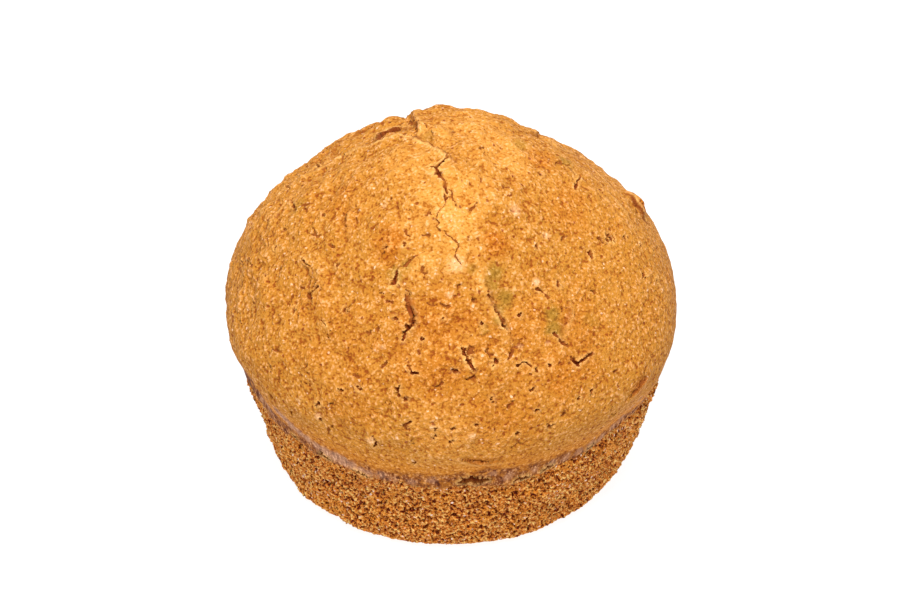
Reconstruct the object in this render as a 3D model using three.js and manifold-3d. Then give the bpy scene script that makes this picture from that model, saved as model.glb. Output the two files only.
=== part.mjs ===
// A plain domed cupcake, baked straight in the tin without a paper case, as one solid. From the
// bottom up it has a flat underside, a short tapering wall of open crumb, the torn lower edge of
// a smooth band that touched the tin, and a tall crust that bulges over the band and is cracked
// from its peak down to the front. Millimetres, +Z up, the origin in the middle of the underside,
// the front facing -Y.

import * as THREE from "three";
import { mergeVertices } from "three/addons/utils/BufferGeometryUtils.js";
import { ImprovedNoise } from "three/addons/math/ImprovedNoise.js";
import Module from "manifold-3d";

// ---- Driving dimensions, each pair a radius and a height ----

const FLAT_RADIUS = 27.2; // the flat part of the underside
const FOOT_ROUND = 2.9; // the rounded edge round it
const WALL_TOP = { radius: 34.4, height: 18.1 };
const BAND_FOOT = { radius: 35.1, height: 18.8 }; // its torn edge stands proud of the wall
const CRUST_EDGE = { radius: 35.9, height: 22.8 }; // where the pale band turns into brown crust
const RIM = { radius: 38, height: 30.2 }; // the widest ring of the whole cake
const PEAK_HEIGHT = 61.6;

const SHOULDER = 10.8; // how far the dome's side goes on rising straight above the rim
const CROWN = 16.4; // how far its top goes on level from the peak
const BAND_BULGE = { radius: 35.2, height: 21.6 }; // the control points that bend the two curves
const RIM_BULGE = { radius: 38, height: 26.4 }; // of the pale band and of the crust above it

// ---- Surface relief ----

const LUMPS = { size: 21, rise: 0.9 }; // the slow unevenness of the risen dome
const CRAGS = { size: 5.2, rise: 0.5 }; // the bumps of its crust
const PEAK_CRAGS = { size: 6.5, rise: 0.8, reach: 16 }; // rougher crust round the peak
const CRUMB = { size: 3.1, rise: 0.75 }; // the open crumb of the wall
const CALM_FOOT = 0.4; // what is left of that where the wall meets the underside
const WALL_SWELL = { azimuth: -25, rise: 0.7 }; // the side where the wall stands out a little
const CREASE_WAVE = { size: 13, rise: 0.8 }; // how far the band's torn edge wanders up and down
const CREASE_TILT = { azimuth: -98, drop: 1.6 }; // the side where the edge hangs lowest
const RIPPLE = { share: 0.5, finer: 4 }; // the short waves on that edge, beside its long ones

// Where each relief reads the noise, so that no two of them run alike.
const OFFSET = { lumps: 1.5, crags: 0, peak: 9, coarse: 5, fine: 11, crease: 3, ripple: 7, lips: 2, course: 4 };

const BUMPS = [
  { at: [-10.1, -16.0], radius: 4.6, rise: 0.6 },
  { at: [7.3, -16.9], radius: 4.4, rise: 0.6 },
  { at: [31.9, 15.8], radius: 3.3, rise: 1.5 }, // a blister on the right shoulder
  { at: [-14.5, 13.5], radius: 6.0, rise: 0.5 }, // the back flake, left of the main crack
];

// The slab right of the main crack broke away upwards, so its edge stands over the left one.
const SLAB = { at: [1.5, 14.0], radius: 16, rise: 2.1, edgeFrom: [-1.0, -0.8], edgeTo: [-8.8, 20] };
const SLAB_EDGE = 0.6; // the run on either side of its broken edge in which it rises

// ---- Cracks of the dome: plan x and y, then the width and depth of the opening there ----

const MAIN_CRACK = [
  [-9.4, 21.0, 1.2, 1.2],
  [-7.0, 13.4, 2.0, 2.6],
  [-5.4, 8.0, 1.8, 2.4],
  [-5.7, 4.8, 0.9, 1.2],
  [-3.4, 2.0, 0.7, 0.9],
  [-0.7, -1.2, 0.8, 1.3],
  [-1.0, -3.4, 1.0, 2.2],
  [-2.6, -4.8, 1.2, 2.6],
  [-1.5, -7.0, 1.7, 2.9],
  [-0.8, -9.2, 1.2, 2.4],
  [-1.4, -11.4, 1.7, 2.8],
  [-1.7, -13.8, 0.8, 1.3],
  [-2.2, -16.0, 0.7, 1.0],
  [-0.6, -17.8, 0.8, 1.1],
  [1.0, -20.2, 0.9, 1.2],
];
const FLAKE_CRACK = [
  [-8.4, 10.2, 1.1, 1.4],
  [-10.6, 8.6, 1.6, 2.2],
  [-13.0, 7.3, 1.2, 1.4],
  [-17.0, 7.4, 0.8, 0.9],
  [-20.6, 8.1, 0.9, 1.0],
];
const SHORT_CRACKS = [
  [[-5.6, -19.0, 0.9, 1.1], [-7.5, -20.4, 1.3, 1.5], [-9.3, -22.2, 1.2, 1.6]],
  [[-7.4, -23.5, 1.0, 1.4], [-6.4, -26.0, 1.4, 2.2], [-6.1, -27.7, 1.4, 2.2], [-7.7, -29.4, 1.1, 1.5]],
  [[6.1, -22.4, 0.9, 1.2], [7.0, -25.5, 1.3, 1.8], [8.0, -27.2, 1.3, 1.8], [9.6, -28.4, 1.0, 1.3]],
  [[1.7, -30.7, 1.0, 1.3], [2.6, -32.0, 1.2, 1.6], [4.1, -33.0, 1.0, 1.2]],
  [[10.6, -31.8, 1.0, 1.2], [13.4, -30.8, 1.1, 1.4]],
  [[20.5, -28.4, 1.1, 1.4], [22.0, -26.9, 1.0, 1.5], [23.4, -25.6, 0.9, 1.1]],
  [[17.7, -26.4, 0.9, 1.1], [19.1, -27.8, 0.9, 1.1]],
];

// ---- Open pores of the crust, in plan ----

const PORES = [
  { at: [26.5, -6.4], radius: 0.85 },
  { at: [23.1, -12.1], radius: 0.6 },
  { at: [31.9, -8.5], radius: 0.75 },
  { at: [7.3, -31.7], radius: 0.8 },
  { at: [-23.0, 9.0], radius: 0.8 },
  { at: [-27.5, 1.0], radius: 0.7 },
];
const PORE_DEPTH = 1.5; // for each millimetre of its radius
const RAGGED = { share: 0.45, size: 0.8 }; // how uneven a pore or a hole is, for a radius of 1

// ---- Folds and torn holes of the side, by azimuth and height ----

const HOLES = [
  { azimuth: -84.2, height: 19.7, width: 4.8, tall: 2.4, depth: 1.7 },
  { azimuth: -70.2, height: 18.3, width: 2.6, tall: 1.5, depth: 1.1 },
  { azimuth: -61.8, height: 18.6, width: 2.8, tall: 1.8, depth: 1.2 },
  { azimuth: -127.0, height: 18.4, width: 2.0, tall: 1.4, depth: 1.0 },
  { azimuth: -116.6, height: 18.3, width: 1.8, tall: 1.3, depth: 1.0 },
  { azimuth: 96.0, height: 19.6, width: 3.4, tall: 1.8, depth: 1.3 },
  { azimuth: 31.0, height: 19.2, width: 2.4, tall: 1.5, depth: 1.1 },
];

const FOLDS = [
  { azimuth: -83, height: 25.4, halfWidth: 6.5, reach: 1.4, depth: 0.8 },
  { azimuth: -35.5, height: 28.6, halfWidth: 7.0, reach: 1.6, depth: 1.0 },
];

// ---- How finely the surface is divided ----

const EDGE = 1.98; // the length of a triangle's side round the cake
const ROW = 1.72; // the distance between two rings up the side
const FINE_ROW = 0.4; // the same for the stations that places are looked up in
const CRACK_STEP = 1.25; // the distance between the cross-sections of a crack
const CRACK_TAPER = 0.3; // what is left of its section at either end
const CRACK_JAG = 0.35; // how uneven its lips are, as a share of its width
const LIFT = 0.9; // how far a cutter reaches out of the surface

const CRUST = { color: 0xd58f45, roughness: 0.82 };

const UP = new THREE.Vector3(0, 0, 1);
const noise = new ImprovedNoise();
const wasm = await Module();
wasm.setup();

// Smooth fall from 1 at the middle of a feature to 0 at its reach.
function falloff(distance, reach) {
  return 1 - THREE.MathUtils.smoothstep(distance, 0, reach);
}

// Noise of one size, from -1 to 1, at a point of space.
function grain(point, size, offset) {
  return noise.noise(point.x / size + offset, point.y / size - offset, point.z / size + offset);
}

// ---- The profile: curves of radius (x) against height (y) ----

// A place of the profile as a 2-D vector.
function corner({ radius, height }) {
  return new THREE.Vector2(radius, height);
}

// The stretches of the profile between its corners, from the underside up to the peak.
function profileSections() {
  const slope = Math.atan2(WALL_TOP.radius - FLAT_RADIUS - FOOT_ROUND, WALL_TOP.height);
  const foot = new THREE.EllipseCurve(
    FLAT_RADIUS, FOOT_ROUND, FOOT_ROUND, FOOT_ROUND, -Math.PI / 2, -slope, false,
  );
  const shoulder = new THREE.Vector2(RIM.radius, RIM.height + SHOULDER);
  const crown = new THREE.Vector2(CROWN, PEAK_HEIGHT);
  return [
    foot,
    new THREE.LineCurve(foot.getPoint(1), corner(WALL_TOP)),
    new THREE.LineCurve(corner(WALL_TOP), corner(BAND_FOOT)),
    new THREE.QuadraticBezierCurve(corner(BAND_FOOT), corner(BAND_BULGE), corner(CRUST_EDGE)),
    new THREE.QuadraticBezierCurve(corner(CRUST_EDGE), corner(RIM_BULGE), corner(RIM)),
    new THREE.CubicBezierCurve(corner(RIM), shoulder, crown, new THREE.Vector2(0, PEAK_HEIGHT)),
  ];
}

// The profile as evenly spaced stations up to the peak, each with its outward normal.
function profileStations(spacing) {
  const points = [];
  for (const section of profileSections()) {
    const count = Math.max(1, Math.round(section.getLength() / spacing));
    points.push(...section.getSpacedPoints(count).slice(0, -1));
  }
  points.push(new THREE.Vector2(0, PEAK_HEIGHT));
  return points.map((point, index) => {
    const before = points[Math.max(index - 1, 0)];
    const after = points[index + 1] ?? new THREE.Vector2(-before.x, before.y);
    const along = after.clone().sub(before).normalize();
    return { radius: point.x, height: point.y, normal: new THREE.Vector2(along.y, -along.x) };
  });
}

const STATIONS = profileStations(FINE_ROW);
const DOME_STATIONS = STATIONS.filter(({ height }) => height >= RIM.height);

// The station where a measure that grows along the stations reaches a value.
function stationWhere(stations, measure, value) {
  const found = stations.findIndex((station) => measure(station) > value);
  const upper = found === -1 ? stations.length - 1 : Math.max(found, 1);
  const [from, to] = [stations[upper - 1], stations[upper]];
  const share = THREE.MathUtils.clamp((value - measure(from)) / (measure(to) - measure(from)), 0, 1);
  return {
    radius: THREE.MathUtils.lerp(from.radius, to.radius, share),
    height: THREE.MathUtils.lerp(from.height, to.height, share),
    normal: from.normal.clone().lerp(to.normal, share).normalize(),
  };
}

// ---- Relief: how far the real surface stands out of the smooth one ----

// How far the wandering crease lifts the profile at one azimuth and height.
function creaseLift(azimuth, height) {
  const ring = new THREE.Vector3(Math.cos(azimuth), Math.sin(azimuth), 0).multiplyScalar(RIM.radius);
  const share = height < WALL_TOP.height
    ? height / WALL_TOP.height
    : 1 - THREE.MathUtils.smoothstep(height, BAND_FOOT.height, RIM.height);
  const ripple = RIPPLE.share * grain(ring, CREASE_WAVE.size / RIPPLE.finer, OFFSET.ripple);
  const wander = grain(ring, CREASE_WAVE.size, OFFSET.crease) + ripple;
  const tilt = Math.cos(azimuth - THREE.MathUtils.degToRad(CREASE_TILT.azimuth));
  return share * (CREASE_WAVE.rise * wander - CREASE_TILT.drop * tilt);
}

// The raised slab: full behind the line of the main crack, nothing in front of it.
function slabRise(point) {
  const [fromX, fromY] = SLAB.edgeFrom;
  const [toX, toY] = SLAB.edgeTo;
  const edgeX = fromX + ((toX - fromX) * (point.y - fromY)) / (toY - fromY);
  const behindEdge = THREE.MathUtils.smoothstep(point.x - edgeX, -SLAB_EDGE, SLAB_EDGE);
  const distance = Math.hypot(point.x - SLAB.at[0], point.y - SLAB.at[1]);
  return SLAB.rise * behindEdge * falloff(distance, SLAB.radius);
}

// The round bumps of the dome that are large enough to see from a step away.
function bumpRise(point) {
  return BUMPS.reduce((rise, bump) => {
    const distance = Math.hypot(point.x - bump.at[0], point.y - bump.at[1]);
    return rise + bump.rise * falloff(distance, bump.radius);
  }, 0);
}

// The two folds where the crust sagged over the band, as shallow grooves.
function foldDepth(point) {
  const azimuth = Math.atan2(point.y, point.x);
  return FOLDS.reduce((depth, fold) => {
    const swing = Math.abs(azimuth - THREE.MathUtils.degToRad(fold.azimuth));
    const side = falloff(swing * RIM.radius, fold.halfWidth);
    return depth + fold.depth * side * falloff(Math.abs(point.z - fold.height), fold.reach);
  }, 0);
}

// The relief of the dome and of the band under it.
function crustRelief(point) {
  const share = THREE.MathUtils.smoothstep(point.z, BAND_FOOT.height, RIM.height);
  const fromAxis = Math.hypot(point.x, point.y);
  const nearPeak = falloff(fromAxis, PEAK_CRAGS.reach);
  const lumps = LUMPS.rise * grain(point, LUMPS.size, OFFSET.lumps);
  const crags = CRAGS.rise * grain(point, CRAGS.size, OFFSET.crags);
  const peak = PEAK_CRAGS.rise * nearPeak * grain(point, PEAK_CRAGS.size, OFFSET.peak);
  return share * (lumps + crags + peak + bumpRise(point) + slabRise(point)) - foldDepth(point);
}

// The relief of the wall: open crumb, calmer where it meets the underside.
function wallRelief(point, azimuth) {
  const share = THREE.MathUtils.smoothstep(point.z, 0, FOOT_ROUND * 2);
  const coarse = grain(point, CRUMB.size * 2, OFFSET.coarse);
  const fine = grain(point, CRUMB.size, OFFSET.fine);
  const swell = Math.cos(azimuth - THREE.MathUtils.degToRad(WALL_SWELL.azimuth));
  const crumb = CRUMB.rise * THREE.MathUtils.lerp(CALM_FOOT, 1, share) * (coarse + fine);
  return crumb + WALL_SWELL.rise * share * Math.max(swell, 0);
}

// A point of the real surface and its outward normal, from a station and an azimuth.
function skin(station, azimuth) {
  const radial = new THREE.Vector3(Math.cos(azimuth), Math.sin(azimuth), 0);
  const point = radial.clone().multiplyScalar(station.radius);
  point.z = station.height;
  const onWall = station.height < WALL_TOP.height;
  const relief = onWall ? wallRelief(point, azimuth) : crustRelief(point);
  const normal = radial.clone().multiplyScalar(station.normal.x).addScaledVector(UP, station.normal.y);
  const outward = station.height < FOOT_ROUND ? radial : normal; // the foot stays off the ground
  point.z += creaseLift(azimuth, station.height);
  return { point: point.addScaledVector(outward, relief), normal };
}

// The real surface over one plan position of the dome.
function onDome(x, y) {
  const station = stationWhere(DOME_STATIONS, ({ radius }) => -radius, -Math.hypot(x, y));
  return skin(station, Math.atan2(y, x));
}

// The real surface at one azimuth, in degrees, and one height of the smooth profile.
function onSide(azimuth, height) {
  const station = stationWhere(STATIONS, (each) => each.height, height);
  return skin(station, THREE.MathUtils.degToRad(azimuth));
}

// ---- The cake's body: rings of points, stitched into triangles ----

// One ring of vertex numbers round the axis, with the azimuths they stand at.
function addRing(vertices, station, index) {
  const count = Math.max(6, Math.round((2 * Math.PI * station.radius) / EDGE));
  const start = (index % 2) / 2;
  const ring = [];
  for (let step = 0; step < count; step += 1) {
    const share = (step + start) / count;
    ring.push({ vertex: vertices.length, share });
    vertices.push(skin(station, share * 2 * Math.PI).point);
  }
  return ring;
}

// Triangles between a lower ring and an upper one, whose counts may differ.
function stitch(faces, lower, upper) {
  const shareOf = (ring, step) => ring[step % ring.length].share + Math.floor(step / ring.length);
  const vertexOf = (ring, step) => ring[step % ring.length].vertex;
  let low = 0;
  let high = 0;
  while (low < lower.length || high < upper.length) {
    const lowNext = low < lower.length ? shareOf(lower, low + 1) : Infinity;
    const highNext = high < upper.length ? shareOf(upper, high + 1) : Infinity;
    if (lowNext <= highNext) {
      faces.push(vertexOf(lower, low), vertexOf(lower, low + 1), vertexOf(upper, high));
      low += 1;
    } else {
      faces.push(vertexOf(lower, low), vertexOf(upper, high + 1), vertexOf(upper, high));
      high += 1;
    }
  }
}

// Triangles from one point to every side of a ring.
function closeRing(faces, ring, vertex, faceUp) {
  for (let step = 0; step < ring.length; step += 1) {
    const here = ring[step].vertex;
    const next = ring[(step + 1) % ring.length].vertex;
    faces.push(...(faceUp ? [here, next, vertex] : [next, here, vertex]));
  }
}

// The whole body without its cracks and holes.
function bodyGeometry() {
  const vertices = [];
  const faces = [];
  const stations = profileStations(ROW).slice(0, -1);
  const rings = stations.map((station, index) => addRing(vertices, station, index));
  for (let index = 1; index < rings.length; index += 1) {
    stitch(faces, rings[index - 1], rings[index]);
  }
  vertices.push(new THREE.Vector3(0, 0, 0), onDome(0, 0).point);
  closeRing(faces, rings[0], vertices.length - 2, false);
  closeRing(faces, rings[rings.length - 1], vertices.length - 1, true);
  const geometry = new THREE.BufferGeometry().setFromPoints(vertices);
  geometry.setIndex(faces);
  return geometry;
}

// ---- Cutters ----

// A crack's opening: a wedge that follows its path over the dome, with jagged lips.
function crackGeometry(path) {
  const course = new THREE.CatmullRomCurve3(
    path.map(([x, y]) => new THREE.Vector3(x, y, 0)), false, "centripetal",
  );
  const steps = Math.max(2, Math.round(course.getLength() / CRACK_STEP));
  const vertices = [];
  const faces = [];
  for (let step = 0; step <= steps; step += 1) {
    const share = step / steps;
    const place = course.getPoint(share);
    const { point, normal } = onDome(place.x, place.y);
    const side = new THREE.Vector3().crossVectors(normal, course.getTangent(share)).normalize();
    const [width, depth] = crackSize(path, share);
    const taper = step === 0 || step === steps ? CRACK_TAPER : 1;
    const jagged = 1 + CRACK_JAG * grain(point, CRACK_STEP, OFFSET.lips);
    const half = 0.5 * width * taper * jagged;
    const reach = half * (1 + LIFT / depth);
    const astray = CRACK_JAG * width * grain(point, CRACK_STEP, OFFSET.course);
    const middle = point.clone().addScaledVector(side, astray);
    vertices.push(
      middle.clone().addScaledVector(normal, LIFT).addScaledVector(side, reach),
      middle.clone().addScaledVector(normal, LIFT).addScaledVector(side, -reach),
      middle.clone().addScaledVector(normal, -depth * taper),
    );
    if (step === 0) faces.push(0, 2, 1);
    for (let edge = 0; step > 0 && edge < 3; edge += 1) {
      const here = step * 3 + edge;
      const next = step * 3 + ((edge + 1) % 3);
      faces.push(here - 3, next - 3, here, next - 3, next, here);
    }
  }
  const last = steps * 3;
  faces.push(last, last + 1, last + 2);
  const geometry = new THREE.BufferGeometry().setFromPoints(vertices);
  geometry.setIndex(faces);
  return geometry;
}

// The width and depth of a crack at one share of its path's points.
function crackSize(path, share) {
  const place = share * (path.length - 1);
  const from = Math.min(Math.floor(place), path.length - 2);
  return [2, 3].map((value) => THREE.MathUtils.lerp(path[from][value], path[from + 1][value], place - from));
}

// A pore or a torn hole: an uneven round cutter sunk in the surface.
function pitGeometry({ point, normal }, width, tall, depth, seed) {
  const geometry = new THREE.IcosahedronGeometry(1, 1);
  geometry.deleteAttribute("normal");
  geometry.deleteAttribute("uv");
  const merged = mergeVertices(geometry);
  const places = merged.getAttribute("position");
  const place = new THREE.Vector3();
  for (let index = 0; index < places.count; index += 1) {
    place.fromBufferAttribute(places, index);
    place.multiplyScalar(1 + RAGGED.share * grain(place, RAGGED.size, seed));
    places.setXYZ(index, ...place);
  }
  const aside = new THREE.Vector3().crossVectors(UP, normal).normalize();
  const upwards = new THREE.Vector3().crossVectors(normal, aside);
  const placed = new THREE.Matrix4().makeBasis(aside, upwards, normal).setPosition(point);
  return merged.scale(width / 2, tall / 2, depth).applyMatrix4(placed);
}

// ---- Solids ----

// A closed geometry as a solid that can be cut and joined.
function solid(geometry) {
  const bare = new THREE.BufferGeometry();
  bare.setAttribute("position", geometry.getAttribute("position"));
  bare.setIndex(geometry.getIndex());
  const merged = mergeVertices(bare);
  return new wasm.Manifold(new wasm.Mesh({
    numProp: 3,
    vertProperties: new Float32Array(merged.getAttribute("position").array),
    triVerts: new Uint32Array(merged.getIndex().array),
  }));
}

// A cut solid as a geometry again, set so that the middle of its box is on the axis.
function geometryOf(manifold) {
  const { vertProperties, triVerts } = manifold.getMesh();
  const geometry = new THREE.BufferGeometry();
  geometry.setAttribute("position", new THREE.BufferAttribute(vertProperties, 3));
  geometry.setIndex(new THREE.BufferAttribute(triVerts, 1));
  geometry.computeBoundingBox();
  const middle = geometry.boundingBox.getCenter(new THREE.Vector3());
  geometry.translate(-middle.x, -middle.y, 0);
  geometry.computeVertexNormals();
  return geometry;
}

// Everything that is open in the surface: cracks, pores and the holes of the torn band.
function cutters() {
  const pores = PORES.map(({ at, radius }, index) => (
    pitGeometry(onDome(...at), 2 * radius, 2 * radius, PORE_DEPTH * radius, index)
  ));
  const holes = HOLES.map(({ azimuth, height, width, tall, depth }, index) => {
    const seed = PORES.length + index;
    return pitGeometry(onSide(azimuth, height), width, tall, depth, seed);
  });
  const cracks = [MAIN_CRACK, FLAKE_CRACK, ...SHORT_CRACKS].map(crackGeometry);
  return [...cracks, ...pores, ...holes];
}

// The finished cake: the largest piece that the cutters leave, without the crumbs they free.
function cupcake() {
  const open = cutters().map(solid).reduce((joined, cutter) => joined.add(cutter));
  const pieces = solid(bodyGeometry()).subtract(open).decompose();
  const cut = pieces.reduce((largest, piece) => (piece.volume() > largest.volume() ? piece : largest));
  const mesh = new THREE.Mesh(geometryOf(cut), new THREE.MeshStandardMaterial(CRUST));
  mesh.name = "cupcake";
  return mesh;
}

const part = new THREE.Group();
part.add(cupcake());

export default part;
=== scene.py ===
"""A plain domed cupcake, baked straight in the tin without a paper case, in a pale studio.

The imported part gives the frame: where the cake stands and how large it is. Two closed pieces stand
for it. The crust is the tall dome with the smooth band under its rim, cracked from the peak down to
the front. The crumb is the short open wall under the torn edge of that band, down to the flat
underside. Sizes are in millimetres. A place that the photograph shows is named by its pixel there,
in a picture of 900 by 600, and lies where the line of sight meets the cake.
"""

import logging
import math
from collections.abc import Iterator, Sequence
from contextlib import contextmanager
from dataclasses import dataclass
from enum import Enum

import bpy
import numpy as np
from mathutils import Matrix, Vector, noise

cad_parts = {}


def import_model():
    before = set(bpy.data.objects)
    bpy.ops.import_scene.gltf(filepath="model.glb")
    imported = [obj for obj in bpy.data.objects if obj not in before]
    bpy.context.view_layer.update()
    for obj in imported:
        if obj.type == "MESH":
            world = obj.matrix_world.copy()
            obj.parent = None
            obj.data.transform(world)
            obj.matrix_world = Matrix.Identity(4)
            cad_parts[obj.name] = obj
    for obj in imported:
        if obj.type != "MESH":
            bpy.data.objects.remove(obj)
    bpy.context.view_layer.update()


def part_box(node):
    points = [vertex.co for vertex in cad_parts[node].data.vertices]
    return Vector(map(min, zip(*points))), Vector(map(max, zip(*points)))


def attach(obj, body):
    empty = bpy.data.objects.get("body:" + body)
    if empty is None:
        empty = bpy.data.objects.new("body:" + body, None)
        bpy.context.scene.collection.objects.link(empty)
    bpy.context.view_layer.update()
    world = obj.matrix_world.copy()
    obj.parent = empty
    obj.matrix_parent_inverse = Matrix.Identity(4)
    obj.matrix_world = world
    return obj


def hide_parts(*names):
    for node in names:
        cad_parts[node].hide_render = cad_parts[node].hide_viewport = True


MM = 0.001
NODE = "cupcake"
BODY = "root"
OUTSIDE = 0.2
"""A distance in metres that is well outside the cake."""

log = logging.getLogger("cupcake")

Piece = bpy.types.Object
Socket = bpy.types.NodeSocket
Tone = tuple[int, int, int]
WHITE = (1.0, 1.0, 1.0, 1.0)


# ---- The photograph's camera ----


@dataclass(frozen=True)
class Portrait:
    """The camera of the photograph, which looks down on the cake from the front."""

    elevation: float = math.radians(38.0)
    target: Vector = Vector((0.0, 0.0, 0.030))
    distance: float = 1.2667
    lens: float = 302.7
    sensor: float = 36.0
    picture: tuple[int, int] = (900, 600)
    farthest: float = 20.0

    def ahead(self) -> Vector:
        """Returns the direction that the camera looks in."""
        return Vector((0.0, math.cos(self.elevation), -math.sin(self.elevation)))

    def position(self) -> Vector:
        """Returns the place of the camera, in metres."""
        return self.target - self.ahead() * self.distance

    def sight(self, across: float, down: float) -> Vector:
        """Works out the line of sight through a pixel.

        Args:
            across: The pixel's place from the left edge of the picture.
            down: Its place from the top edge.

        Returns:
            The direction of the line, of length 1.
        """
        width, height = self.picture
        pixel = self.sensor / width
        up = Vector((0.0, math.sin(self.elevation), math.cos(self.elevation)))
        aside = Vector(((across - width / 2) * pixel, 0.0, 0.0))
        line = self.ahead() * self.lens + aside + up * (height / 2 - down) * pixel
        return line.normalized()

    def set_up(self) -> None:
        """Places the camera and makes it the scene's own."""
        bpy.ops.object.camera_add(location=self.position())
        camera = bpy.context.active_object
        camera.name = "portrait_camera"
        camera.rotation_euler = self.ahead().to_track_quat("-Z", "Y").to_euler()
        camera.data.lens = self.lens
        camera.data.sensor_width = self.sensor
        camera.data.clip_end = self.farthest
        bpy.context.scene.camera = camera


PORTRAIT = Portrait()


# ---- Places on the cake ----


@dataclass(frozen=True)
class Seen:
    """A place that the photograph shows, by its pixel there."""

    across: float
    down: float

    def on(self, piece: Piece) -> np.ndarray:
        """Finds the place on a piece.

        Args:
            piece: The piece that the line of sight meets.

        Returns:
            The place, or the nearest one where the line passes the piece by.
        """
        origin = PORTRAIT.position()
        line = PORTRAIT.sight(self.across, self.down)
        met, place, _, _ = piece.ray_cast(origin, line)
        if not met:
            _, place, _, _ = piece.closest_point_on_mesh(origin + line * PORTRAIT.distance)
        return np.array(place) / MM


@dataclass(frozen=True)
class Above:
    """A place of the dome as seen from straight above, by its distances from the axis."""

    x: float
    y: float

    def on(self, piece: Piece) -> np.ndarray:
        """Finds the place on a piece."""
        _, place, _, _ = piece.ray_cast(Vector((self.x * MM, self.y * MM, OUTSIDE)), Vector((0, 0, -1)))
        return np.array(place) / MM


@dataclass(frozen=True)
class Beside:
    """A place of the side, by its azimuth in degrees and its height."""

    azimuth: float
    height: float

    def on(self, piece: Piece) -> np.ndarray:
        """Finds the place on a piece.

        Args:
            piece: The piece that is looked at from the side.

        Returns:
            The place.
        """
        turn = math.radians(self.azimuth)
        outward = Vector((math.cos(turn), math.sin(turn), 0.0))
        _, place, _, _ = piece.ray_cast(outward * OUTSIDE + Vector((0, 0, self.height * MM)), -outward)
        return np.array(place) / MM


Spot = Seen | Above | Beside


def course(kind: type[Spot], *rows: tuple[float, ...]) -> tuple[tuple, ...]:
    """Turns rows of numbers into rows that start with a place.

    Args:
        kind: The kind of place that the first two numbers of a row name.
        rows: The rows.

    Returns:
        The place and the other numbers of each row.
    """
    return tuple((kind(*row[:2]), *row[2:]) for row in rows)


# ---- Help with operators ----


def select_only(piece: Piece) -> None:
    """Makes a piece the active object and the only selected one.

    Args:
        piece: The piece.
    """
    bpy.ops.object.select_all(action="DESELECT")
    piece.select_set(True)
    bpy.context.view_layer.objects.active = piece


@contextmanager
def edit_mode(piece: Piece) -> Iterator[None]:
    """Opens a piece in edit mode and closes it again.

    Args:
        piece: The mesh object to edit.

    Returns:
        The context of a with statement.
    """
    select_only(piece)
    bpy.ops.object.mode_set(mode="EDIT")
    yield
    bpy.ops.object.mode_set(mode="OBJECT")


def apply_modifier(piece: Piece, kind: str, **settings: object) -> None:
    """Adds a modifier to a piece and applies it at once.

    Args:
        piece: The mesh object.
        kind: The modifier's type.
        settings: Its properties by name.
    """
    select_only(piece)
    modifier = piece.modifiers.new(kind.lower(), kind)
    for name, value in settings.items():
        setattr(modifier, name, value)
    bpy.ops.object.modifier_apply(modifier=modifier.name)


def select_faces(piece: Piece, chosen: np.ndarray) -> None:
    """Selects the faces of a piece that a mask names, and nothing else.

    Args:
        piece: The mesh object, in object mode.
        chosen: One truth value for each face.
    """
    with edit_mode(piece):
        bpy.context.tool_settings.mesh_select_mode = (False, False, True)
        bpy.ops.mesh.select_all(action="DESELECT")
    piece.data.polygons.foreach_set("select", chosen)


def split_faces(piece: Piece, chosen: np.ndarray) -> None:
    """Cuts the faces of a piece that a mask names into smaller ones.

    Args:
        piece: The mesh object, in object mode.
        chosen: One truth value for each face.
    """
    select_faces(piece, chosen)
    with edit_mode(piece):
        bpy.ops.mesh.subdivide(number_cuts=1)


# ---- Numbers ----


def vectors(parts: bpy.types.bpy_prop_collection, name: str) -> np.ndarray:
    """Reads one vector of every vertex or face of a mesh.

    Args:
        parts: The vertices or the faces.
        name: The vector's name.

    Returns:
        A row of x, y and z for each of them.
    """
    values = np.empty(len(parts) * 3)
    parts.foreach_get(name, values)
    return values.reshape(-1, 3)


def smooth(value: np.ndarray, low: float, high: float) -> np.ndarray:
    """Rises smoothly from 0 at the low value to 1 at the high one."""
    share = np.clip((value - low) / (high - low), 0.0, 1.0)
    return share * share * (3.0 - 2.0 * share)


def fading(value: np.ndarray, low: float, high: float) -> np.ndarray:
    """Falls smoothly from 1 at the low value to 0 at the high one."""
    return 1.0 - smooth(value, low, high)


def bell(value: np.ndarray, middle: float | np.ndarray, width: float) -> np.ndarray:
    """Is 1 in the middle and falls to 0 on both sides."""
    return np.exp(-(((value - middle) / width) ** 2))


def grain(points: np.ndarray, size: float, offset: float = 0.0) -> np.ndarray:
    """Reads noise of one size at many points.

    Args:
        points: The points.
        size: The size of one lump of the noise.
        offset: Where in the noise field it is read, so that no two uses run alike.

    Returns:
        A value from about -1 to 1 for each point.
    """
    places = points / size + (offset, -offset, 2.0 * offset)
    return np.array([noise.noise(place) for place in places.tolist()])


def wander(points: np.ndarray, size: float, offsets: Sequence[float]) -> np.ndarray:
    """Reads noise for x, y and z at many points, at an offset for each."""
    return np.stack([grain(points, size, offset) for offset in offsets], axis=1)


def lay_down(piece: Piece, rows: np.ndarray) -> None:
    """Moves the x, y and z of every row to the nearest place on a piece.

    Args:
        piece: The piece.
        rows: The rows of a path, which start with x, y and z.
    """
    for row in rows:
        _, place, _, _ = piece.closest_point_on_mesh(Vector(row[:3]) * MM)
        row[:3] = np.array(place) / MM


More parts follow.
